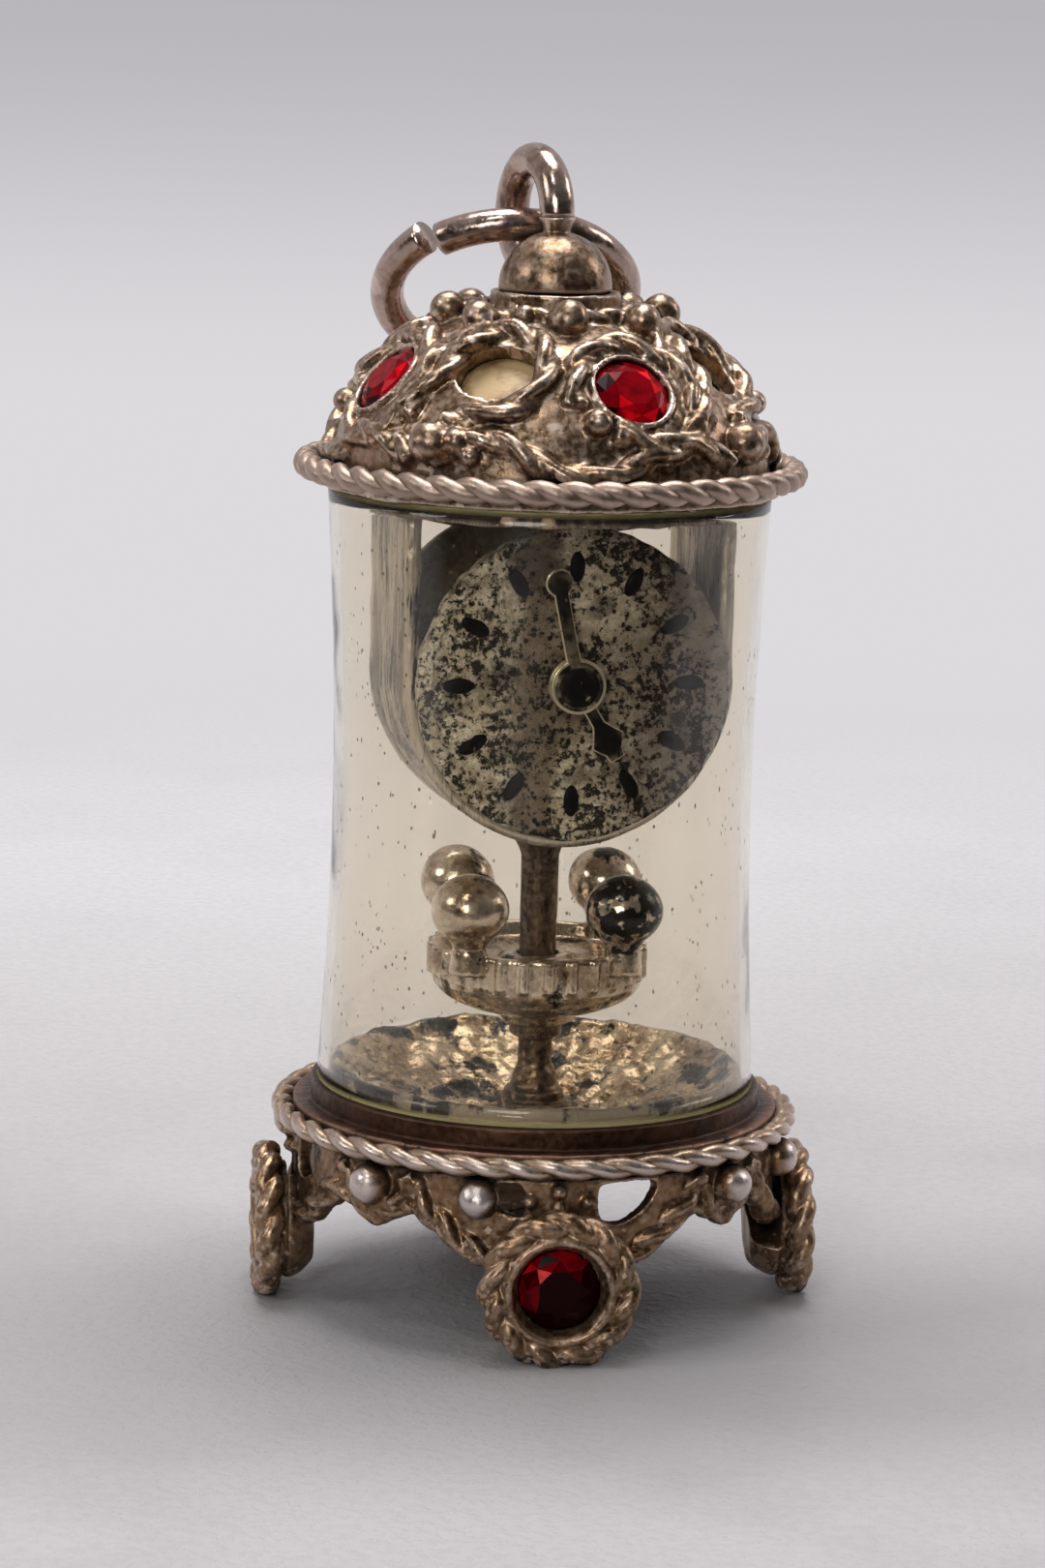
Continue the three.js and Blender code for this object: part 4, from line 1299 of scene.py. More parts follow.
@dataclass
class Stone:
    """A set stone with its table, crown and pavilion facets.

    Attributes:
        radius: Of its girdle.
        painted_dark_table: Whether its table is painted black, a painted shade, as it looks seen straight on.
        levels: Rings of corners from the tip up: radius and height over the girdle's radius, how many
            corners, and how far they are turned.
        painted_lit_side: Direction of the painted lit side of a stone with a painted dark table.
    """

    radius: float
    painted_dark_table: bool = False
    levels: Marks = (
        (0.02, -0.3, 8, 0), (1.0, -0.02, 16, 0), (1.0, 0.05, 16, 0), (0.8, 0.18, 8, 0), (0.55, 0.3, 8, 22.5),
    )
    painted_lit_side: tuple[float, float] = (-0.6, 0.8)

    def build(self, name: str, seed: float) -> Piece:
        """Build the stone lying down, its table up.

        Args:
            name: The object's name.
            seed: Picks the facets' reds.

        Returns:
            The stone.
        """
        vertices, rings = [], []
        for reach, height, count, turn in self.levels:
            rings.append(list(range(len(vertices), len(vertices) + count)))
            for step in range(count):
                angle = math.radians(turn) + 2 * math.pi * step / count
                across, along = self.radius * reach * math.cos(angle), self.radius * reach * math.sin(angle)
                vertices.append((across, along, self.radius * height))
        tip, low, high, crown, table = rings
        faces = [tuple(tip), tuple(table)]
        for step in range(16):
            on = (step + 1) % 16
            faces.append((low[step], low[on], high[on], high[step]))
        for step in range(8):
            on = (step + 1) % 8
            a, b, c = 2 * step, 2 * step + 1, (2 * step + 2) % 16
            faces += [
                (tip[step], low[a], low[b]),
                (tip[step], low[b], tip[on]),
                (tip[on], low[b], low[c]),
                (high[a], high[b], crown[step]),
                (high[b], crown[on], crown[step]),
                (high[b], high[c], crown[on]),
                (crown[step], crown[on], table[step]),
                (crown[on], table[on], table[step]),
            ]
        made = make_object(name, vertices, faces)
        made.data.shade_flat()
        # Painted light and shade: each facet gets its own brightness of red.
        tones = [self.facet_painted_light(face, seed) for face in made.data.polygons]
        made.data.attributes.new("facet", "FLOAT", "FACE").data.foreach_set("value", tones)
        return made

    def facet_painted_light(self, face: bpy.types.MeshPolygon, seed: float) -> float:
        """How bright a facet's red is painted, as painted light and shade of the stone.

        Args:
            face: The facet.
            seed: Picks the facets' reds.

        Returns:
            A value from 0 to 1.
        """
        # Painted shade: a painted dark table is black.
        if len(face.vertices) == 8 and face.center.z > 0:
            return 0.0 if self.painted_dark_table else 0.45
        value = 0.5 + 0.5 * noise.noise(Vector((face.index * 3.7 + seed, seed * 1.3, face.index * 1.9)))
        tone = max(0.0, min(1.0, 1.6 * value - 0.3))
        # Painted light: facets towards the lit side are bright, the others dark.
        if self.painted_dark_table:
            side = face.center.xy.dot(Vector(self.painted_lit_side)) / (self.radius * MM)
            tone *= max(0.0, min(1.0, 0.1 + 1.6 * side))
        return tone


@dataclass
class Base(SubAssembly):
    """The base: turned plate, rope rim, pierced gallery and round feet with stones.

    Outlines, wires and beads of the gallery are placed by an angle from the foot and a height; a bead also
    has a lift off the surface and a radius.
    """

    foot_centre: float = 1.89
    foot_back: float = 6.38
    foot_rope_circle: float = 1.67
    foot_rope_depth: float = 0.49
    foot_rope_count: int = 12
    foot_cup: Marks = (
        (0.0, 0.0), (1.5, 0.0), (1.44, 0.72), (1.32, 0.86), (1.2, 0.8), (1.02, 0.42), (1.02, 0.1), (0.0, 0.1),
    )
    foot_bowl: Marks = ((0.0, -0.7), (1.15, -0.7), (1.42, -0.4), (1.6, 0.05), (0.0, 0.05))
    bowl_top: float = 0.03
    stone_radius: float = 1.0
    stone_girdle: float = 0.36
    gallery_height: float = 4.5
    gallery_radius: float = 6.2
    gallery_flare: float = 0.15
    gallery_wall: float = 0.38
    scallop: Marks = ((0, 1.95), (12, 2.05), (20, 2.35), (29, 3.0), (35, 3.4), (40, 3.1), (45, 2.85))
    wide_window: Marks = (
        (9.5, 3.6), (9.3, 4.1), (10.5, 4.36), (16, 4.4), (22, 4.38), (24, 4.2), (21.5, 3.78), (16.5, 3.42),
        (12, 3.36),
    )
    narrow_window: Marks = (
        (7.3, 3.62), (7.4, 4.1), (9.0, 4.34), (13.0, 4.36), (15.5, 4.15), (14.6, 3.78), (11.0, 3.58),
    )
    window_reach: tuple[float, float] = (-0.9, 0.5)
    wires: tuple[Wire, ...] = (
        Wire("arm", -0.02, Rope(0.16, 0.15, 0.95, 0.5),
             ((37, 4.3), (31, 3.68), (24, 3.0), (18, 2.62), (13, 2.45))),
        Wire("hem", -0.05, Rope(0.13, 0.08, 0.8, 0.5),
             ((14, 2.3), (20, 2.55), (27, 3.05), (33, 3.48), (36, 3.5), (40, 3.3), (45, 3.05))),
        Wire("twig", 0.0, Rope(0.14, 0.1, 0.8, 0.5),
             ((34, 4.35), (37.5, 3.9), (39.5, 3.55), (44.5, 3.42))),
    )
    beads: Marks = (
        (6.5, 3.95, 0.02, 0.14), (-6.5, 3.95, 0.02, 0.14), (0, 4.2, 0.06, 0.2), (0, 3.82, 0.08, 0.17),
        (45, 4.0, 0.225, 0.5), (72, 4.02, 0.225, 0.5), (57, 4.15, 0.05, 0.22),
    )
    plate_wall: float = 0.4
    flange_radius: float = 6.24
    flange_low: float = 4.53
    flange_top: float = 5.13
    step_radius: float = 5.78
    step_top: float = 5.65
    collar_radius: float = 5.31
    collar_top: float = 6.2
    collar_wall: float = 0.3
    pan_floor: float = 4.6
    pan_skin: float = 0.1
    pan_middle: float = 2.2
    pan_rise: float = 1.2
    rope_circle: float = 6.51
    rope_height: float = 4.86
    rope_count: int = 42

    def build(self) -> None:
        """Build and dress the base."""
        self.build_plate()
        self.build_inner_floor()
        self.build_rim()
        self.build_gallery()
        self.build_feet()

    def build_plate(self) -> None:
        """Turn the plate with its flange, its step and its sunk middle."""
        wall, under = self.step_radius - self.plate_wall, self.pan_floor - self.plate_wall
        over = self.pan_floor - self.pan_skin
        profile = [
            (0.0, under), (wall, under), (wall, self.flange_low), (self.flange_radius, self.flange_low),
            (self.flange_radius, self.flange_top), (self.step_radius, self.flange_top),
            (self.step_radius, self.step_top), (self.collar_radius - 0.02, self.step_top),
            (self.pan_middle, over), (0.0, over),
        ]
        plate = turn_profile("cast_plate", rounded(profile, 0.08), 200)
        roughen(plate, depth=0.03, scale=0.9, seed=4.0)
        self.hand_over(plate, Finish.COPPER, "copper_flush", ["base_plate"])

    def build_inner_floor(self) -> None:
        """Cast the rough bright floor inside the tube, up to the ring that centres the tube."""
        rings, columns = 52, 170
        vertices: list[Vector] = []
        for height_of in (self.lumpy_height, lambda x, y: self.pan_floor - 2 * self.pan_skin):
            for ring in range(rings + 1):
                for column in range(columns):
                    reach = self.collar_radius * max(ring, 0.02) / rings
                    point = at_angle(360 * column / columns, reach, 0)
                    vertices.append(Vector((point.x, point.y, height_of(point.x, point.y))))
        layer = (rings + 1) * columns
        faces = [tuple(range(columns)), tuple(range(layer, layer + columns))]
        for column in range(columns):
            on = (column + 1) % columns
            for ring in range(rings):
                low, high = ring * columns, (ring + 1) * columns
                faces.append((low + column, high + column, high + on, low + on))
                under, over = layer + low, layer + high
                faces.append((under + column, under + on, over + on, over + column))
            edge = rings * columns
            faces.append((edge + column, layer + edge + column, layer + edge + on, edge + on))
        floor = make_object("rough_inner_floor", vertices, faces)
        self.hand_over(floor, Finish.SPARKLE, "base_silver")

    def lumpy_height(self, x: float, y: float) -> float:
        """Height of the rough inner floor at a point in millimetres.

        Args:
            x: Place across.
            y: Place in depth.

        Returns:
            The height.
        """
        out = math.hypot(x, y)
        wall = self.collar_radius - self.collar_wall
        rise = max(0.0, (min(out, wall) - self.pan_middle) / (wall - self.pan_middle))
        coarse = noise.noise(Vector((x * 1.1, y * 1.1, 3.0)))
        fine = noise.fractal(Vector((x * 2.4, y * 2.4, 9.0)), 0.9, 2.0, 4)
        lumps = (0.06 + 0.2 * rise) * coarse + 0.15 * fine
        height = self.pan_floor + self.pan_skin + self.pan_rise * rise + lumps
        ridge = max(0.0, min(1.0, (out - wall + 0.1) / 0.2))
        return height + ridge * (self.collar_top - 0.12 + 0.12 * coarse + 0.05 * fine - height)

    def build_rim(self) -> None:
        """Lay the rope rim round the flange."""
        rope = Rope.in_ring(self.rope_circle, self.rope_count, strand=0.19, lay=0.095, lumps=0.9)
        circle = level_ring(self.rope_circle, self.rope_height, 180)
        rim = self.lay_rope("rim_rope_of_base", circle, rope, Finish.BASE_SILVER, seed=1.0, closed=True)
        self.hand_over(rim, Finish.BASE_SILVER, "base_silver", ["base_rope_rim"])

    def on_gallery(self, angle: float, height: float, lift: float = 0.0) -> Vector:
        """A point on the gallery's outer face, moved out by a lift."""
        flare = self.gallery_flare * (1 - height / self.gallery_height)
        return at_angle(angle, self.gallery_radius + flare + lift, height)

    def edge_height(self, angle: float) -> float:
        """Height of the gallery's scalloped lower edge at an angle.

        Args:
            angle: Angle in degrees.

        Returns:
            The height.
        """
        from_foot = abs((angle + 45) % 90 - 45)
        for (low, start), (high, end) in zip(self.scallop, self.scallop[1:]):
            if from_foot <= high:
                t = (from_foot - low) / (high - low)
                return start + (end - start) * t * t * (3 - 2 * t)
        return self.scallop[-1][1]

    def build_gallery(self) -> None:
        """Pierce the skirt, lay its wires and beads on it and fuse them."""
        skirt = cut_out(self.solid_skirt(), self.window_cutters())
        spots = [
            (self.on_gallery(quarter + angle, height, lift), radius)
            for quarter, (angle, height, lift, radius) in product(QUARTERS, self.beads)
        ]
        balls = self.trees.beads.apply(spots_object("gallery_beads", spots), Finish.BASE_SILVER, Seed=5)
        whole = merge("pierced_gallery", [skirt, *self.gallery_wires(), balls])
        gallery = cast_together(whole, voxel=0.062, soften=2)
        roughen(gallery, depth=0.03, scale=2.2, seed=2.0)
        nodes = [f"gallery_panel_{corner}" for corner in CORNERS]
        self.hand_over(gallery, Finish.BASE_SILVER, "base_silver", nodes)

    def solid_skirt(self) -> Piece:
        """Make the skirt with its scalloped edge, before it is pierced.

        Returns:
            The skirt.
        """
        rows, columns = 10, 240
        vertices, faces = [], []
        for column in range(columns):
            angle = 360 * column / columns
            low = self.edge_height(angle)
            heights = [low + (self.gallery_height - low) * row / (rows - 1) for row in range(rows)]
            vertices += [self.on_gallery(angle, height) for height in heights]
            vertices += [self.on_gallery(angle, height, -self.gallery_wall) for height in reversed(heights)]
        around = 2 * rows
        for column in range(columns):
            here, on = column * around, (column + 1) % columns * around
            for row in range(around):
                up = (row + 1) % around
                faces.append((here + row, here + up, on + up, on + row))
        return make_object("skirt", vertices, faces)

    def window_cutters(self) -> list[Piece]:
        """Make what cuts the windows: a wide one right of each foot and a narrow one left of it.

        Returns:
            The cutters.
        """
        cutters = []
        for quarter in QUARTERS:
            for side, outline in ((1, self.wide_window), (-1, self.narrow_window)):
                marks = [Vector((angle * side, height, 0)) for angle, height in outline]
                shape = smooth_route(marks, 4, closed=True)
                inner, outer = (
                    [self.on_gallery(quarter + mark.x, mark.y, lift) for mark in shape]
                    for lift in self.window_reach
                )
                cutters.append(prism("window", inner, outer))
        return cutters

    def gallery_wires(self) -> list[Piece]:
        """Lay the same wires on both sides of each foot.

        Returns:
            The wires.
        """
        laid: list[Piece] = []
        for quarter, side, wire in product(QUARTERS, (1, -1), self.wires):
            marks = [self.on_gallery(quarter + side * angle, up, wire.lift) for angle, up in wire.route]
            name, seed = f"{wire.label}_{len(laid)}", float(len(laid))
            laid.append(self.lay_rope(name, smooth_route(marks), wire.rope, Finish.BASE_SILVER, seed))
        return laid

    def build_feet(self) -> None:
        """Cast one foot and set it and its stone at each corner."""
        rope = Rope.in_ring(self.foot_rope_circle, self.foot_rope_count, strand=0.235, lay=0.15, lumps=0.45)
        circle = level_ring(self.foot_rope_circle, self.foot_rope_depth, 60)
        ring = self.lay_rope("ring", circle, rope, Finish.BASE_SILVER, seed=9.0, closed=True)
        cup = turn_profile("cup", rounded(self.foot_cup, 0.06), 72)
        bowl = turn_profile("bowl", rounded(self.foot_bowl, 0.2), 48)
        for vertex in bowl.data.vertices:
            vertex.co.y = min(vertex.co.y, self.bowl_top * MM)
        form = cast_together(merge("foot_form", [ring, cup, bowl]), voxel=0.045, soften=2)
        roughen(form, depth=0.035, scale=2.0, seed=7.0)
        upright = Matrix.Rotation(math.pi / 2, 4, "X")
        stand = Matrix.Translation((0, -self.foot_back, self.foot_centre)) @ upright
        for turn, corner in enumerate(CORNERS):
            place = Matrix.Rotation(math.pi / 2 * turn, 4, "Z") @ stand
            foot = linked(f"round_foot_{corner}", form.data.copy())
            move_mesh(foot, place @ Matrix.Rotation(0.35 * turn, 4, "Z"))
            self.flatten(foot)
            self.hand_over(foot, Finish.FOOT_SILVER, "base_silver", [f"foot_{corner}"])
            stone = Stone(self.stone_radius, painted_dark_table=True).build(f"red_stone_{corner}", 11.0 + turn)
            seat = Matrix.Translation((0, 0, self.stone_girdle)) @ Matrix.Rotation(0.3 * turn, 4, "Z")
            move_mesh(stone, place @ seat)
            self.hand_over(stone, Finish.STONE, "red_glass", [f"foot_stone_{corner}"])
        bpy.data.objects.remove(form)

    def flatten(self, foot: Piece) -> None:
        """Wear the foot flat where it stands, and keep it within the width of the solids."""
        low, high = CAD_BOX
        for vertex in foot.data.vertices:
            vertex.co.z = max(vertex.co.z, 0.0)
            for axis in (0, 1):
                vertex.co[axis] = max(low[axis], min(high[axis], vertex.co[axis]))


@dataclass
class Pendulum(SubAssembly):
    """The pedestal and post, and the ribbed disc with its balls that turns round the post."""

    pan_floor: float = 4.63
    pedestal_top: float = 7.13
    post_top: float = 12.1
    disc_low: float = 7.16
    band_low: float = 8.4
    disc_top: float = 9.25
    disc_radius: float = 2.85
    ribs: int = 28
    ball_radius: float = 0.98
    ball_circle: float = 2.75
    ball_centre: float = 10.43
    ball_squash: float = 0.93
    block_half: float = 0.85
    block_height: float = 0.45
    post_radius: float = 0.48
    bore: float = 0.55
    wall: float = 0.14
    rib_radius: float = 0.14

    def build(self) -> None:
        """Build and dress the pedestal, the post and the disc."""
        self.build_pedestal()
        self.build_post()
        self.build_disc()

    def build_pedestal(self) -> None:
        """Turn the cone and set it on its square block."""
        low, top, half = self.pan_floor, self.pedestal_top, self.block_half
        corners = [(half, half), (-half, half), (-half, -half), (half, -half)]
        upright = [Vector((0, 0, low + self.block_height * step / 4)) for step in range(5)]
        block = sweep("block", upright, Vector((0, 1, 0)), corners)
        profile = [
            (0.0, low + 0.2), (0.78, low + 0.2), (0.78, low + 0.72), (0.62, low + 0.82), (0.56, low + 1.18),
            (0.44, low + 1.4), (0.44, top - 0.4), (0.68, top - 0.3), (0.68, top), (0.0, top),
        ]
        stem = turn_profile("stem", rounded(profile), 48)
        pedestal = cast_together(merge("stepped_pedestal", [block, stem]), voxel=0.04, soften=2)
        roughen(pedestal, depth=0.03, scale=1.8, seed=3.0)
        self.hand_over(pedestal, Finish.DARK, "base_silver", ["pedestal"])

    def build_post(self) -> None:
        """Turn the post with its flared head."""
        low, top = self.pedestal_top + 0.03, self.post_top
        levels = [(self.post_radius, low + (top - 0.6 - low) * step / 24) for step in range(25)]
        head = [(0.55, top - 0.4), (0.7, top - 0.15), (0.85, top)]
        post = turn_profile("plain_post", [(0.0, low), *levels, *head, (0.0, top)], 48)
        roughen(post, depth=0.03, scale=1.4, seed=8.0)
        self.hand_over(post, Finish.DARK, "grey_silver", ["pendulum_post"])

    def build_disc(self) -> None:
        """Rib the dished disc, seat its balls and fuse them."""
        low, high = self.band_low, self.disc_top
        upright = [Vector((0, 0, low + 0.02 + (high - low - 0.06) * step / 6)) for step in range(7)]
        rib = sweep("rib", upright, Vector((0, 1, 0)), round_section(self.rib_radius, 8))
        circle = (self.disc_radius - self.wall) * MM
        self.trees.ring.apply(rib, Finish.BALLS, Count=self.ribs, Ring_radius=circle, Height=0.0)
        parts = [turn_profile("disc", self.disc_profile(), 120, closed=True), rib]
        for quarter in QUARTERS:
            centre = at_angle(quarter + 45, self.ball_circle, 0)
            parts.append(move_mesh(turn_profile("ball", self.ball_profile(), 40), Matrix.Translation(centre)))
        whole = cast_together(merge("ribbed_disc_and_balls", parts), voxel=0.05, soften=1)
        roughen(whole, depth=0.03, scale=1.1, seed=6.0)
        self.hand_over(whole, Finish.BALLS, "base_silver", ["pendulum"], "pendulum")

    def disc_profile(self) -> Profile:
        """Profile of the disc round its bore: rounded below, a straight band, and dished above.

        Returns:
            The profile, closed on itself.
        """
        bowl = []
        for step in range(9):
            angle = math.pi / 2 * (0.12 + 0.88 * step / 8)
            bowl.append((0.9 + 1.81 * math.sin(angle), self.band_low - 0.9 * math.cos(angle)))
        edge, top = self.disc_radius - self.wall, self.disc_top
        below = [(self.bore, self.disc_low), (0.9, self.disc_low)]
        above = [(edge, top), (edge - 0.3, top), (edge - 0.42, top - 0.35), (1.0, top - 0.42)]
        middle = [(0.85, top - 0.3), (self.bore, top - 0.3)]
        return rounded([*below, *bowl, *above, *middle], 0.06)

    def ball_profile(self) -> Profile:
        """Profile of a ball on its short neck, which ends inside the disc.

        Returns:
            The profile, from the neck up.
        """
        foot, top = self.disc_top - 0.45, self.disc_top
        upright = self.ball_squash * self.ball_radius
        shape = [(0.0, foot), (0.5, foot), (0.46, top + 0.1), (0.42, top + 0.2)]
        for step in range(1, 16):
            turn = math.radians(-66 + 156 * step / 15)
            shape.append((self.ball_radius * math.cos(turn), self.ball_centre + upright * math.sin(turn)))
        return [*shape, (0.0, self.ball_centre + upright)]


@dataclass
class ClearTube(SubAssembly):
    """The clear tube, drawn in a little at mid height."""

    low: float = 5.68
    height: float = 15.25
    radius: float = 5.62
    waist: float = 0.27
    wall: float = 0.25

    def build(self) -> None:
        """Turn and dress the tube."""
        levels, outer = 36, []
        for level in range(levels + 1):
            t = level / levels
            outer.append((self.radius - self.waist * math.sin(math.pi * t), self.low + self.height * t))
        inner = [(radius - self.wall, height) for radius, height in reversed(outer)]
        tube = turn_profile("yellowed_tube", outer + inner, 160, closed=True)
        self.hand_over(tube, Finish.TUBE, "clear_tube", ["clear_tube"])


@dataclass
class Works(SubAssembly):
    """The cradle, the dial with its marks and the two hands."""

    turn: float = 9.3
    centre: float = 16.33
    top: float = 20.55
    front: float = -2.33
    back: float = 1.92
    dial_back: float = -2.36
    dial_radius: float = 3.95
    dial_thickness: float = 0.42
    dial_sink: float = 0.08
    dial_rim: tuple[float, float] = (0.3, 0.38)
    mark_circle: float = 2.95
    strap_radius: float = 4.2
    strap_wall: float = 0.34
    plate_radius: float = 4.95
    plate_thickness: float = 0.35
    cover_radius: float = 3.95
    cover_thickness: float = 0.3
    hub_radius: float = 0.7
    hub_bore: float = 0.32
    minute_angle: float = 348
    minute_level: float = 0.64
    hour_angle: float = 149
    hour_level: float = 0.45
    hour_leaf: Marks = (
        (0.17, 0.3), (0.17, 1.16), (0.3, 1.4), (0.45, 1.63), (0.36, 1.8), (0.24, 1.95),
    )
    hour_tip: tuple[float, float] = (0.2, 2.2)
    mark: Marks = ((0.0, -0.06), (0.16, -0.03), (0.2, 0.02), (0.15, 0.06), (0.0, 0.075))
    boss: Marks = ((0.0, 0.84), (0.52, 0.84), (0.5, 0.94), (0.32, 0.995), (0.0, 1.0))

    def build(self) -> None:
        """Build and dress the works."""
        self.build_cradle()
        self.build_dial()
        self.build_hand("hour", self.hour_angle, self.hour_level, self.hour_outline)
        self.build_hand("minute", self.minute_angle, self.minute_level, self.minute_outline)

    def stand(self, piece: Piece, back: float, angle: float = 0.0) -> Piece:
        """Stand a piece made face up in front of the works.

        Args:
            piece: The piece, lying down.
            back: Where its underside comes.
            angle: Clockwise turn from twelve.

        Returns:
            The same piece.
        """
        upright = Matrix.Translation((0, back, self.centre)) @ Matrix.Rotation(math.pi / 2, 4, "X")
        return self.turned(move_mesh(piece, upright @ Matrix.Rotation(-math.radians(angle), 4, "Z")))

    def build_cradle(self) -> None:
        """Bend the strap, and add the plate above and the plate behind."""
        thin = self.strap_wall / 2
        line, drop = self.strap_radius - thin, self.centre - self.top
        path = [Vector((-line, 0, self.top + drop * step / 12)) for step in range(12)]
        for step in range(49):
            angle = math.pi + math.pi * step / 48
            path.append(Vector((line * math.cos(angle), 0, self.centre + line * math.sin(angle))))
        path += [Vector((line, 0, self.centre - drop * step / 12)) for step in range(1, 13)]
        half = (self.back - self.front) / 2
        section = [(-thin, half * (1 - step / 8)) for step in range(17)]
        section += [(thin, half * (step / 8 - 1)) for step in range(17)]
        strap = sweep("bent_strap", path, Vector((0, 1, 0)), section)
        move_mesh(strap, Matrix.Translation((0, (self.back + self.front) / 2, 0)))
        roughen(strap, depth=0.05, scale=1.3, seed=12.0)
        self.hand_over(self.turned(strap), Finish.STRAP, "grey_silver", ["cradle_strap"])
        low, high = self.top + 0.03, self.top + 0.03 + self.plate_thickness
        outline = [(0.0, low), (self.plate_radius, low), (self.plate_radius, high), (0.0, high)]
        plate = turn_profile("hanging_plate", rounded(outline), 96)
        self.hand_over(plate, Finish.STRAP, "grey_silver", ["cradle_plate"])
        radius, thick = self.cover_radius, self.cover_thickness
        outline = [(0.0, 0.0), (radius, 0.0), (radius, thick), (0.0, thick)]
        cover = turn_profile("back_cover", rounded(outline, 0.08), 96)
        back = self.back + 0.03 + thick
        self.hand_over(self.stand(cover, back), Finish.COVER, "grey_silver", ["back_plate"])

    def build_dial(self) -> None:
        """Turn the dial with its low rim, set its black marks and the boss in its middle."""
        radius, top, floor = self.dial_radius, self.dial_thickness, self.dial_thickness - self.dial_sink
        rim, foot = (radius - inset for inset in self.dial_rim)
        edge = rounded([(0.0, 0.0), (radius, 0.0), (radius, top), (rim, top), (foot, floor)], 0.06)
        face = [(foot - 0.11 * step, floor) for step in range(1, 31)]
        dial = turn_profile("pitted_dial_plate", [*edge, *face, (0.0, floor)], 160)
        roughen(dial, depth=0.07, scale=2.1, seed=14.0)
        self.hand_over(self.stand(dial, self.dial_back), Finish.DIAL, "grey_silver", ["dial_plate"])
        mark = turn_profile("hour_marks", self.mark, 16)
        move_mesh(mark, Matrix.Diagonal((1.0, 2.0, 1.0, 1.0)))
        circle = self.mark_circle * MM
        self.trees.ring.apply(mark, Finish.ENAMEL, Count=12, Ring_radius=circle, Height=floor * MM)
        self.hand_over(self.stand(mark, self.dial_back), Finish.ENAMEL, "black_enamel")
        boss = self.stand(turn_profile("black_boss", rounded(self.boss, 0.04), 40), self.dial_back)
        self.hand_over(boss, Finish.ENAMEL, "black_enamel", ["hand_arbor"])

    def blade(self, name: str, outline: Profile, low: float, high: float) -> Piece:
        """Cut a flat piece with broken edges from an outline.

        Args:
            name: The object's name.
            outline: Points of the outline.
            low: Height of its underside.
            high: Height of its face.

        Returns:
            The piece, lying down.
        """
        made = prism(name, [(x, y, low) for x, y in outline], [(x, y, high) for x, y in outline])
        edge = made.modifiers.new("edge", "BEVEL")
        edge.width = 0.025 * MM
        edge.segments = 2
        edge.limit_method = "ANGLE"
        return bake_modifiers(made)

    def minute_outline(self, inset: float) -> Profile:
        """Outline of the minute hand: a bar with a disc at its tip.

        Args:
            inset: How far it is drawn in.

        Returns:
            The outline.
        """
        half, tip, reach = 0.185 - inset, 0.35 - inset, 2.66
        start = math.asin(half / tip)
        points = [(half, 0.3)]
        for step in range(15):
            angle = -math.pi / 2 + start + (2 * math.pi - 2 * start) * step / 14
            points.append((tip * math.cos(angle), reach + tip * math.sin(angle)))
        return points + [(-half, 0.3)]

    def hour_outline(self, inset: float) -> Profile:
        """Outline of the leaf-shaped hour hand.

        Args:
            inset: How far it is drawn in.

        Returns:
            The outline.
        """
        half, reach = self.hour_tip
        right = [(x - inset, y) for x, y in self.hour_leaf] + [(half - inset, reach - inset)]
        return right + [(-x, y) for x, y in reversed(right)]

    def hub(self, name: str, radius: float, low: float, high: float, soft: float) -> Piece:
        """Turn a ring round the arbor.

        Args:
            name: The object's name.
            radius: Its outer radius.
            low: Height of its underside.
            high: Height of its face.
            soft: Radius of its edges.

        Returns:
            The ring, lying down.
        """
        bore = self.hub_bore
        outline = [(bore, low), (radius, low), (radius, high), (bore, high)]
        return turn_profile(name, rounded(outline, soft), 48, closed=True)

    def build_hand(self, label: str, angle: float, low: float, outline: Callable[[float], Profile]) -> None:
        """Build a hand as a silver blank with black enamel on its face.

        Args:
            label: Which hand.
            angle: Clockwise turn from twelve.
            low: Height of its underside over the dial's back.
            outline: Gives its outline, drawn in by an inset.
        """
        body = f"{label}_hand"
        hub = self.hub("hub", self.hub_radius, 0.0, 0.15, 0.03)
        move_mesh(hub, Matrix.Translation((0, 0, low)))
        blank = merge(f"{body}_blank", [hub, self.blade("blade", outline(0.0), low + 0.005, low + 0.11)])
        self.stand(blank, self.dial_back, angle)
        self.hand_over(blank, Finish.HAND_EDGE, "black_enamel", [body], body)
        face = self.blade(f"{body}_enamel", outline(0.03), low + 0.07, low + 0.16)
        if label == "minute":
            cover = self.hub("hub_enamel", self.hub_radius - 0.08, low + 0.1, low + 0.17, 0.02)
            face = merge(f"{body}_enamel", [face, cover])
        self.hand_over(self.stand(face, self.dial_back, angle), Finish.ENAMEL, "black_enamel", body=body)


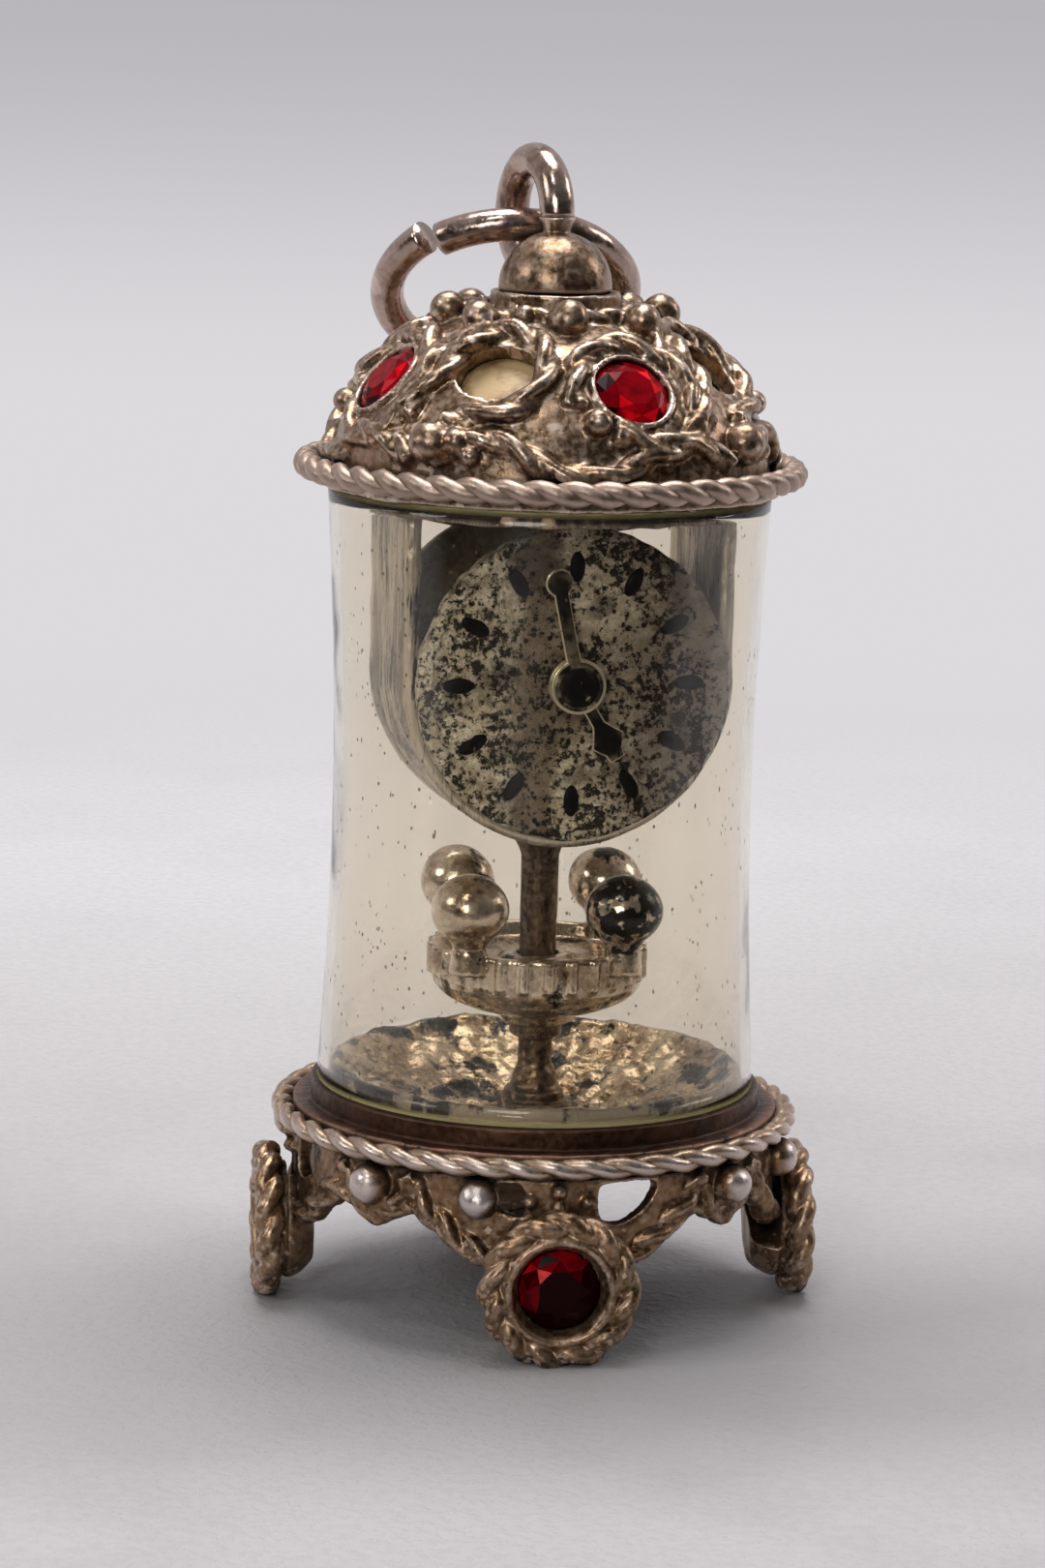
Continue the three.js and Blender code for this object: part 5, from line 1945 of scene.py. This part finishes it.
@dataclass
class Lid(SubAssembly):
    """The openwork lid: dome, stones, ropes, beads, finial and bail.

    What is set on the dome has an angle from the nearest quarter and a height angle, both in degrees; a bead
    has a radius too.
    """

    turn: float = 19
    bottom: float = 20.96
    flange_top: float = 21.46
    flange_radius: float = 5.82
    dome_radius: float = 5.52
    dome_rise: float = 4.2
    wall: float = 0.45
    spigot_radius: float = 5.31
    spigot_inner: float = 5.01
    spigot_depth: float = 0.45
    boss_radius: float = 1.65
    boss_foot: float = 25.2
    boss_top: float = 25.88
    stone_radius: float = 0.94
    stone_height: float = 34
    window_height: float = 41
    stone_sink: float = 0.14
    cup: Marks = ((0.0, -0.6), (1.1, -0.6), (1.1, 0.05), (0.97, 0.05), (0.96, -0.42), (0.0, -0.45))
    wires: tuple[Wire, ...] = (
        Wire("scroll", 0.06, Rope(0.19, 0.155, 1.25, 0.6),
             ((-19, 28), (-17, 43), (-4, 52), (11, 49), (21, 38), (21, 25), (13, 16), (2, 15), (-8, 20))),
        Wire("arch", 0.06, Rope(0.2, 0.15, 1.35, 0.6),
             ((-69, 22), (-63, 36), (-60, 49), (-47, 58), (-34, 55), (-27, 43), (-32, 30), (-43, 24),
              (-56, 22))),
        Wire("wave", 0.06, Rope(0.19, 0.13, 1.25, 0.6),
             ((-56, 8), (-46, 16), (-35, 14), (-25, 6), (-10, 5), (3, 12), (16, 14), (27, 7))),
        Wire("column", 0.06, Rope(0.16, 0.12, 1.0, 0.6),
             ((-72, 12), (-71, 28), (-68, 44), (-63, 60))),
        Wire("collar", 0.06, Rope(0.16, 0.12, 1.0, 0.6),
             ((-50, 68), (-28, 66), (-5, 68), (17, 66), (40, 68))),
    )
    beads: Marks = (
        (-18, 62, 0.48), (24, 60, 0.46), (33, 13, 0.5), (-13, 22, 0.32), (-44, 66, 0.26), (-50, 14, 0.36),
        (44, 10, 0.26),
    )
    lining_gap: float = 0.06
    lining_wall: float = 0.1
    rope_circle: float = 6.18
    rope_count: int = 46
    finial_low: float = 25.91
    finial_radius: float = 1.42
    finial_rise: float = 1.38
    bail_centre: float = 27.76
    bail_radius: float = 1.34
    bail_wire: float = 0.44
    bail_sweep: float = 262

    def build(self) -> None:
        """Build and dress the lid."""
        self.build_dome()
        self.build_lining()
        self.build_rim()
        self.build_stones()
        self.build_finial()
        self.build_bail()

    def on_dome(self, angle: float, height: float, lift: float = 0.0) -> Vector:
        """A point on the dome at an angle round it and a height angle, moved out square to it by a lift.

        Args:
            angle: Angle round the lid.
            height: Height angle.
            lift: How far out.

        Returns:
            The point.
        """
        across, up = math.cos(math.radians(height)), math.sin(math.radians(height))
        normal = Vector((across / self.dome_radius, up / self.dome_rise)).normalized()
        return at_angle(
            angle,
            self.dome_radius * across + normal.x * lift,
            self.flange_top + self.dome_rise * up + normal.y * lift,
        )

    def set_on_dome(self, piece: Piece, angle: float, height: float) -> Piece:
        """Set a piece made face up on the dome, square to it.

        Args:
            piece: The piece.
            angle: Angle round the lid.
            height: Height angle.

        Returns:
            The same piece.
        """
        here = self.on_dome(angle, height)
        outward = (self.on_dome(angle, height, 1.0) - here).normalized()
        across = at_angle(angle + 90, 1, 0)
        upward = outward.cross(across)
        matrix = Matrix((across, upward, outward)).transposed().to_4x4()
        return move_mesh(piece, Matrix.Translation(here) @ matrix)

    def build_dome(self) -> None:
        """Pierce the dome, add its boss, wires, cups and beads and fuse them."""
        shell = cut_out(turn_profile("shell", self.shell_profile(), 120), self.opening_cutters())
        low, high = self.boss_foot, self.boss_top
        outline = [(0.0, low), (self.boss_radius, low), (self.boss_radius, high), (0.0, high)]
        parts = [shell, turn_profile("boss", outline, 48)]
        spots = []
        for quarter in QUARTERS:
            parts += self.quarter_wires(quarter)
            cup = turn_profile("cup", rounded(self.cup), 48)
            parts.append(self.set_on_dome(cup, quarter, self.stone_height))
            for angle, height, radius in self.beads:
                spots.append((self.on_dome(quarter + angle, height, 0.5 * radius), radius))
        parts.append(self.trees.beads.apply(spots_object("lid_beads", spots), Finish.LID_SILVER, Seed=3))
        dome = cast_together(merge("openwork_dome", parts), voxel=0.066, soften=2)
        roughen(dome, depth=0.04, scale=1.5, seed=1.0)
        self.hand_over(self.turned(dome), Finish.LID_SILVER, "lid_silver", ["lid"])

    def shell_profile(self) -> Profile:
        """Profile of the hollow dome with its flange and the spigot that centres it in the tube.

        Returns:
            The profile, from the inner top to the outer top.
        """
        outer, inner = [], []
        for step in range(25):
            angle = math.pi / 2 * step / 24
            across, up = math.cos(angle) if step < 24 else 0.0, math.sin(angle)
            outer.append((self.dome_radius * across, self.flange_top + self.dome_rise * up))
            high = self.flange_top + (self.dome_rise - self.wall) * up
            inner.append(((self.dome_radius - self.wall) * across, high))
        foot = self.bottom - self.spigot_depth
        rim = [
            (self.spigot_inner, self.flange_top), (self.spigot_inner, foot), (self.spigot_radius, foot),
            (self.spigot_radius, self.bottom), (self.flange_radius, self.bottom),
            (self.flange_radius, self.flange_top),
        ]
        return [*reversed(inner), *rim, *outer]

    def opening_cutters(self) -> list[Piece]:
        """Make what cuts an oval window between the stones and a seat for each stone.

        Returns:
            The cutters.
        """
        cutters = []
        for quarter in QUARTERS:
            for label, reach, deep, oval, angle, height in (
                ("hole", 1.0, 1.4, 0.88, quarter - 45, self.window_height),
                ("seat", 1.05, 1.2, 1.0, quarter, self.stone_height),
            ):
                plug = turn_profile(label, [(0.0, -deep), (reach, -deep), (reach, deep), (0.0, deep)], 36)
                move_mesh(plug, Matrix.Diagonal((1.0, oval, 1.0, 1.0)))
                cutters.append(self.set_on_dome(plug, angle, height))
        return cutters

    def quarter_wires(self, quarter: float) -> list[Piece]:
        """Lay the wires round one stone.

        Args:
            quarter: Angle of the stone.

        Returns:
            The wires.
        """
        laid = []
        for index, wire in enumerate(self.wires):
            points = [self.on_dome(quarter + angle, height, wire.lift) for angle, height in wire.route]
            name, seed = f"{wire.label}_{quarter}", float(quarter + 3 * index)
            laid.append(self.lay_rope(name, smooth_route(points), wire.rope, Finish.LID_SILVER, seed))
        return laid

    def build_lining(self) -> None:
        """Turn the thin lining under the dome, which shows through the windows."""
        outer, inner = [], []
        for step in range(21):
            angle = math.pi / 2 * step / 20
            for row, gap in ((outer, self.lining_gap), (inner, self.lining_gap + self.lining_wall)):
                depth = self.wall + gap
                across = (self.dome_radius - depth) * math.cos(angle) if step < 20 else 0.0
                row.append((across, self.flange_top + (self.dome_rise - depth) * math.sin(angle)))
        lining = turn_profile("cream_lining_of_lid", [*reversed(inner), *outer], 96)
        self.hand_over(self.turned(lining), Finish.LINING, "lid_silver")

    def build_rim(self) -> None:
        """Lay the rope rim round the flange."""
        rope = Rope.in_ring(self.rope_circle, self.rope_count, strand=0.22, lay=0.115, lumps=0.8)
        circle = level_ring(self.rope_circle, self.flange_top, 180)
        rim = self.lay_rope("rim_rope_of_lid", circle, rope, Finish.ROPE_SILVER, seed=2.0, closed=True)
        self.hand_over(self.turned(rim), Finish.ROPE_SILVER, "lid_silver", ["lid_rope_rim"])

    def build_stones(self) -> None:
        """Set a stone in each cup."""
        for turn, corner in enumerate(CORNERS):
            stone = Stone(self.stone_radius).build(f"red_lid_stone_{corner}", 31.0 + 7 * turn)
            move_mesh(stone, Matrix.Translation((0, 0, -self.stone_sink)))
            self.set_on_dome(stone, 90 * turn, self.stone_height)
            self.hand_over(self.turned(stone), Finish.STONE, "red_glass", [f"lid_stone_{corner}"])

    def build_finial(self) -> None:
        """Turn the finial and its neck."""
        low, radius, top = self.finial_low, self.finial_radius, self.bail_centre - 0.03
        profile = [(0.0, low), (radius - 0.06, low), (radius, low + 0.06)]
        for step in range(17):
            angle = math.radians(76 * step / 16)
            profile.append((radius * math.cos(angle), low + 0.12 + self.finial_rise * math.sin(angle)))
        profile += [(0.36, top - 0.3), (0.4, top - 0.15), (0.46, top - 0.04), (0.46, top), (0.0, top)]
        finial = turn_profile("half_bead_finial", profile, 72)
        roughen(finial, depth=0.03, scale=1.1, seed=5.0)
        self.hand_over(self.turned(finial), Finish.LID_SILVER, "lid_silver", ["finial"])

    def build_bail(self) -> None:
        """Bend the bail over from the neck."""
        steps, radius = 72, self.bail_radius
        path = []
        for step in range(steps + 1):
            angle = math.radians(self.bail_sweep * step / steps)
            over = radius - radius * math.cos(angle)
            path.append(Vector((0, over, self.bail_centre + radius * math.sin(angle))))
        bail = sweep("bent_bail", path, Vector((1, 0, 0)), round_section(self.bail_wire, 28))
        roughen(bail, depth=0.01, scale=1.2, seed=9.0)
        self.hand_over(self.turned(bail), Finish.WIRE, "bright_wire", ["bail"])


@dataclass
class JumpRing(SubAssembly):
    """The open ring that hangs in the bail and leans back on the lid."""

    hinge: Point = (-0.4363, 1.267, 27.56)
    slip: float = -0.45
    lean: float = 49.75
    radius: float = 3.07
    wire: float = 0.43
    gap: float = 0.5
    gap_angle: float = 42
    spring: float = 0.3

    def build(self) -> None:
        """Bend and dress the ring."""
        lean = math.radians(self.lean)
        down = Vector((0, math.sin(lean), -math.cos(lean)))
        centre = Vector(self.hinge) + down * self.radius + Vector((self.slip, 0, 0))
        left, top = Vector((-1, 0, 0)), -down
        sideways = left.cross(top)
        half_gap = math.degrees(self.gap / self.radius) / 2
        start, end = 90 - self.gap_angle + half_gap, 90 - self.gap_angle + 360 - half_gap
        path = []
        for step in range(161):
            t = step / 160
            angle = math.radians(start + (end - start) * t)
            round_it = left * self.radius * math.cos(angle) + top * self.radius * math.sin(angle)
            path.append(centre + round_it + sideways * self.spring * (t - 0.5))
        ring = sweep("open_jump_ring", path, sideways, round_section(self.wire, 28))
        roughen(ring, depth=0.015, scale=0.8, seed=10.0)
        self.hand_over(ring, Finish.WIRE, "bright_wire", ["jump_ring"], "jump_ring")


@dataclass
class Studio:
    """Camera, soft lamps with a place, a width and watts each, stone floor and pale surroundings."""

    azimuth: float = -6.1
    pitch: float = 10.0
    roll: float = 1.5
    distance: float = 120.0
    aim_height: float = 13.3
    aim_across: float = -0.5
    lens: float = 107.7
    floor_reach: float = 3000.0
    lamp_aim: float = 12.0
    lamps: tuple[tuple[str, Point, float, float], ...] = (
        ("soft_lamp_above", (0, 30, 190), 120, 0.27),
        ("soft_lamp_left", (-190, -50, 120), 80, 0.07),
        ("soft_lamp_right", (190, 40, 120), 80, 0.06),
        ("key_lamp", (-50, -110, 200), 40, 0.045),
        ("window_lamp", (-75, -215, 95), 90, 0.125),
    )

    def build(self) -> None:
        """Set up the studio."""
        self.build_camera()
        self.build_floor()
        self.build_lamps()
        self.build_world()

    def build_camera(self) -> None:
        """Place the camera where the photograph was taken from."""
        data = bpy.data.cameras.new("camera")
        data.sensor_fit = "VERTICAL"
        data.sensor_height = 36
        data.lens = self.lens
        data.clip_start = 0.005
        camera = linked("camera", data)
        pitch = math.radians(self.pitch)
        spin = Matrix.Rotation(math.radians(self.azimuth), 4, "Z")
        aim = Vector((self.aim_across, 0, self.aim_height))
        back = Vector((0, -self.distance * math.cos(pitch), self.distance * math.sin(pitch)))
        look = (spin @ -back).to_track_quat("-Z", "Y").to_matrix().to_4x4()
        look = look @ Matrix.Rotation(math.radians(self.roll), 4, "Z")
        camera.matrix_world = Matrix.Translation((spin @ (aim + back)) * MM) @ look
        bpy.context.scene.camera = camera

    def build_floor(self) -> None:
        """Lay the stone floor, far enough out to reach the horizon from every side."""
        far = self.floor_reach
        corners = [(-far, -far, 0), (far, -far, 0), (far, far, 0), (-far, far, 0)]
        floor = make_object("stone_floor", corners, [(0, 1, 2, 3)])
        floor.data.materials.append(Finish.FLOOR.material())

    def build_lamps(self) -> None:
        """Hang the soft lamps above, beside and in front of the charm."""
        aim = Vector((0, 0, self.lamp_aim)) * MM
        for label, place, width, watts in self.lamps:
            data = bpy.data.lights.new(label, "AREA")
            data.shape = "DISK"
            data.size = width * MM
            data.energy = watts
            spot = Vector(place) * MM
            look = (aim - spot).to_track_quat("-Z", "Y").to_matrix().to_4x4()
            linked(label, data).matrix_world = Matrix.Translation(spot) @ look

    def build_world(self) -> None:
        """Surround the charm with pale light from behind and above, and with a dim room in front."""
        world = bpy.data.worlds.new("pale_studio")
        bpy.context.scene.world = world
        world.use_nodes = True
        n = Nodes(world.node_tree)
        direction = n.add("ShaderNodeTexCoord").outputs["Generated"]
        height, toward = n.part(direction, "Z"), n.part(direction, "Y")
        room_tone = n.blend(n.spread(height, 0.0, 0.8), srgb(84, 74, 68), srgb(236, 236, 240))
        strength = n.spread(toward, -0.7, 0.5, 0.12, 0.55)
        room = n.add("ShaderNodeBackground", {"Color": room_tone, "Strength": strength})
        floor = Finish.FLOOR.value
        slope = n.maths("DIVIDE", height, n.larger(toward, 0.05))
        screen_tone = n.blend(n.spread(slope, 0.05, 0.22), floor.horizon, floor.distance)
        screen = n.add("ShaderNodeBackground", {"Color": screen_tone, "Strength": 1.0})
        around = n.between(n.spread(toward, 0.12, 0.22), room, screen)
        pale = n.add("ShaderNodeBackground", {"Color": floor.distance, "Strength": 1.0})
        n.add("ShaderNodeOutputWorld", {"Surface": n.between(n.seen(), around, pale)})


def main() -> None:
    """Build the charm from the ground up, then the studio."""
    logging.basicConfig(level=logging.INFO, format="%(name)s: %(message)s")
    bpy.context.scene.view_settings.view_transform = "Standard"
    trees = Trees()
    Studio().build()
    for sub_assembly in (Base, Pendulum, ClearTube, Works, Lid, JumpRing):
        sub_assembly(trees).build()


if __name__ == "__main__":
    main()
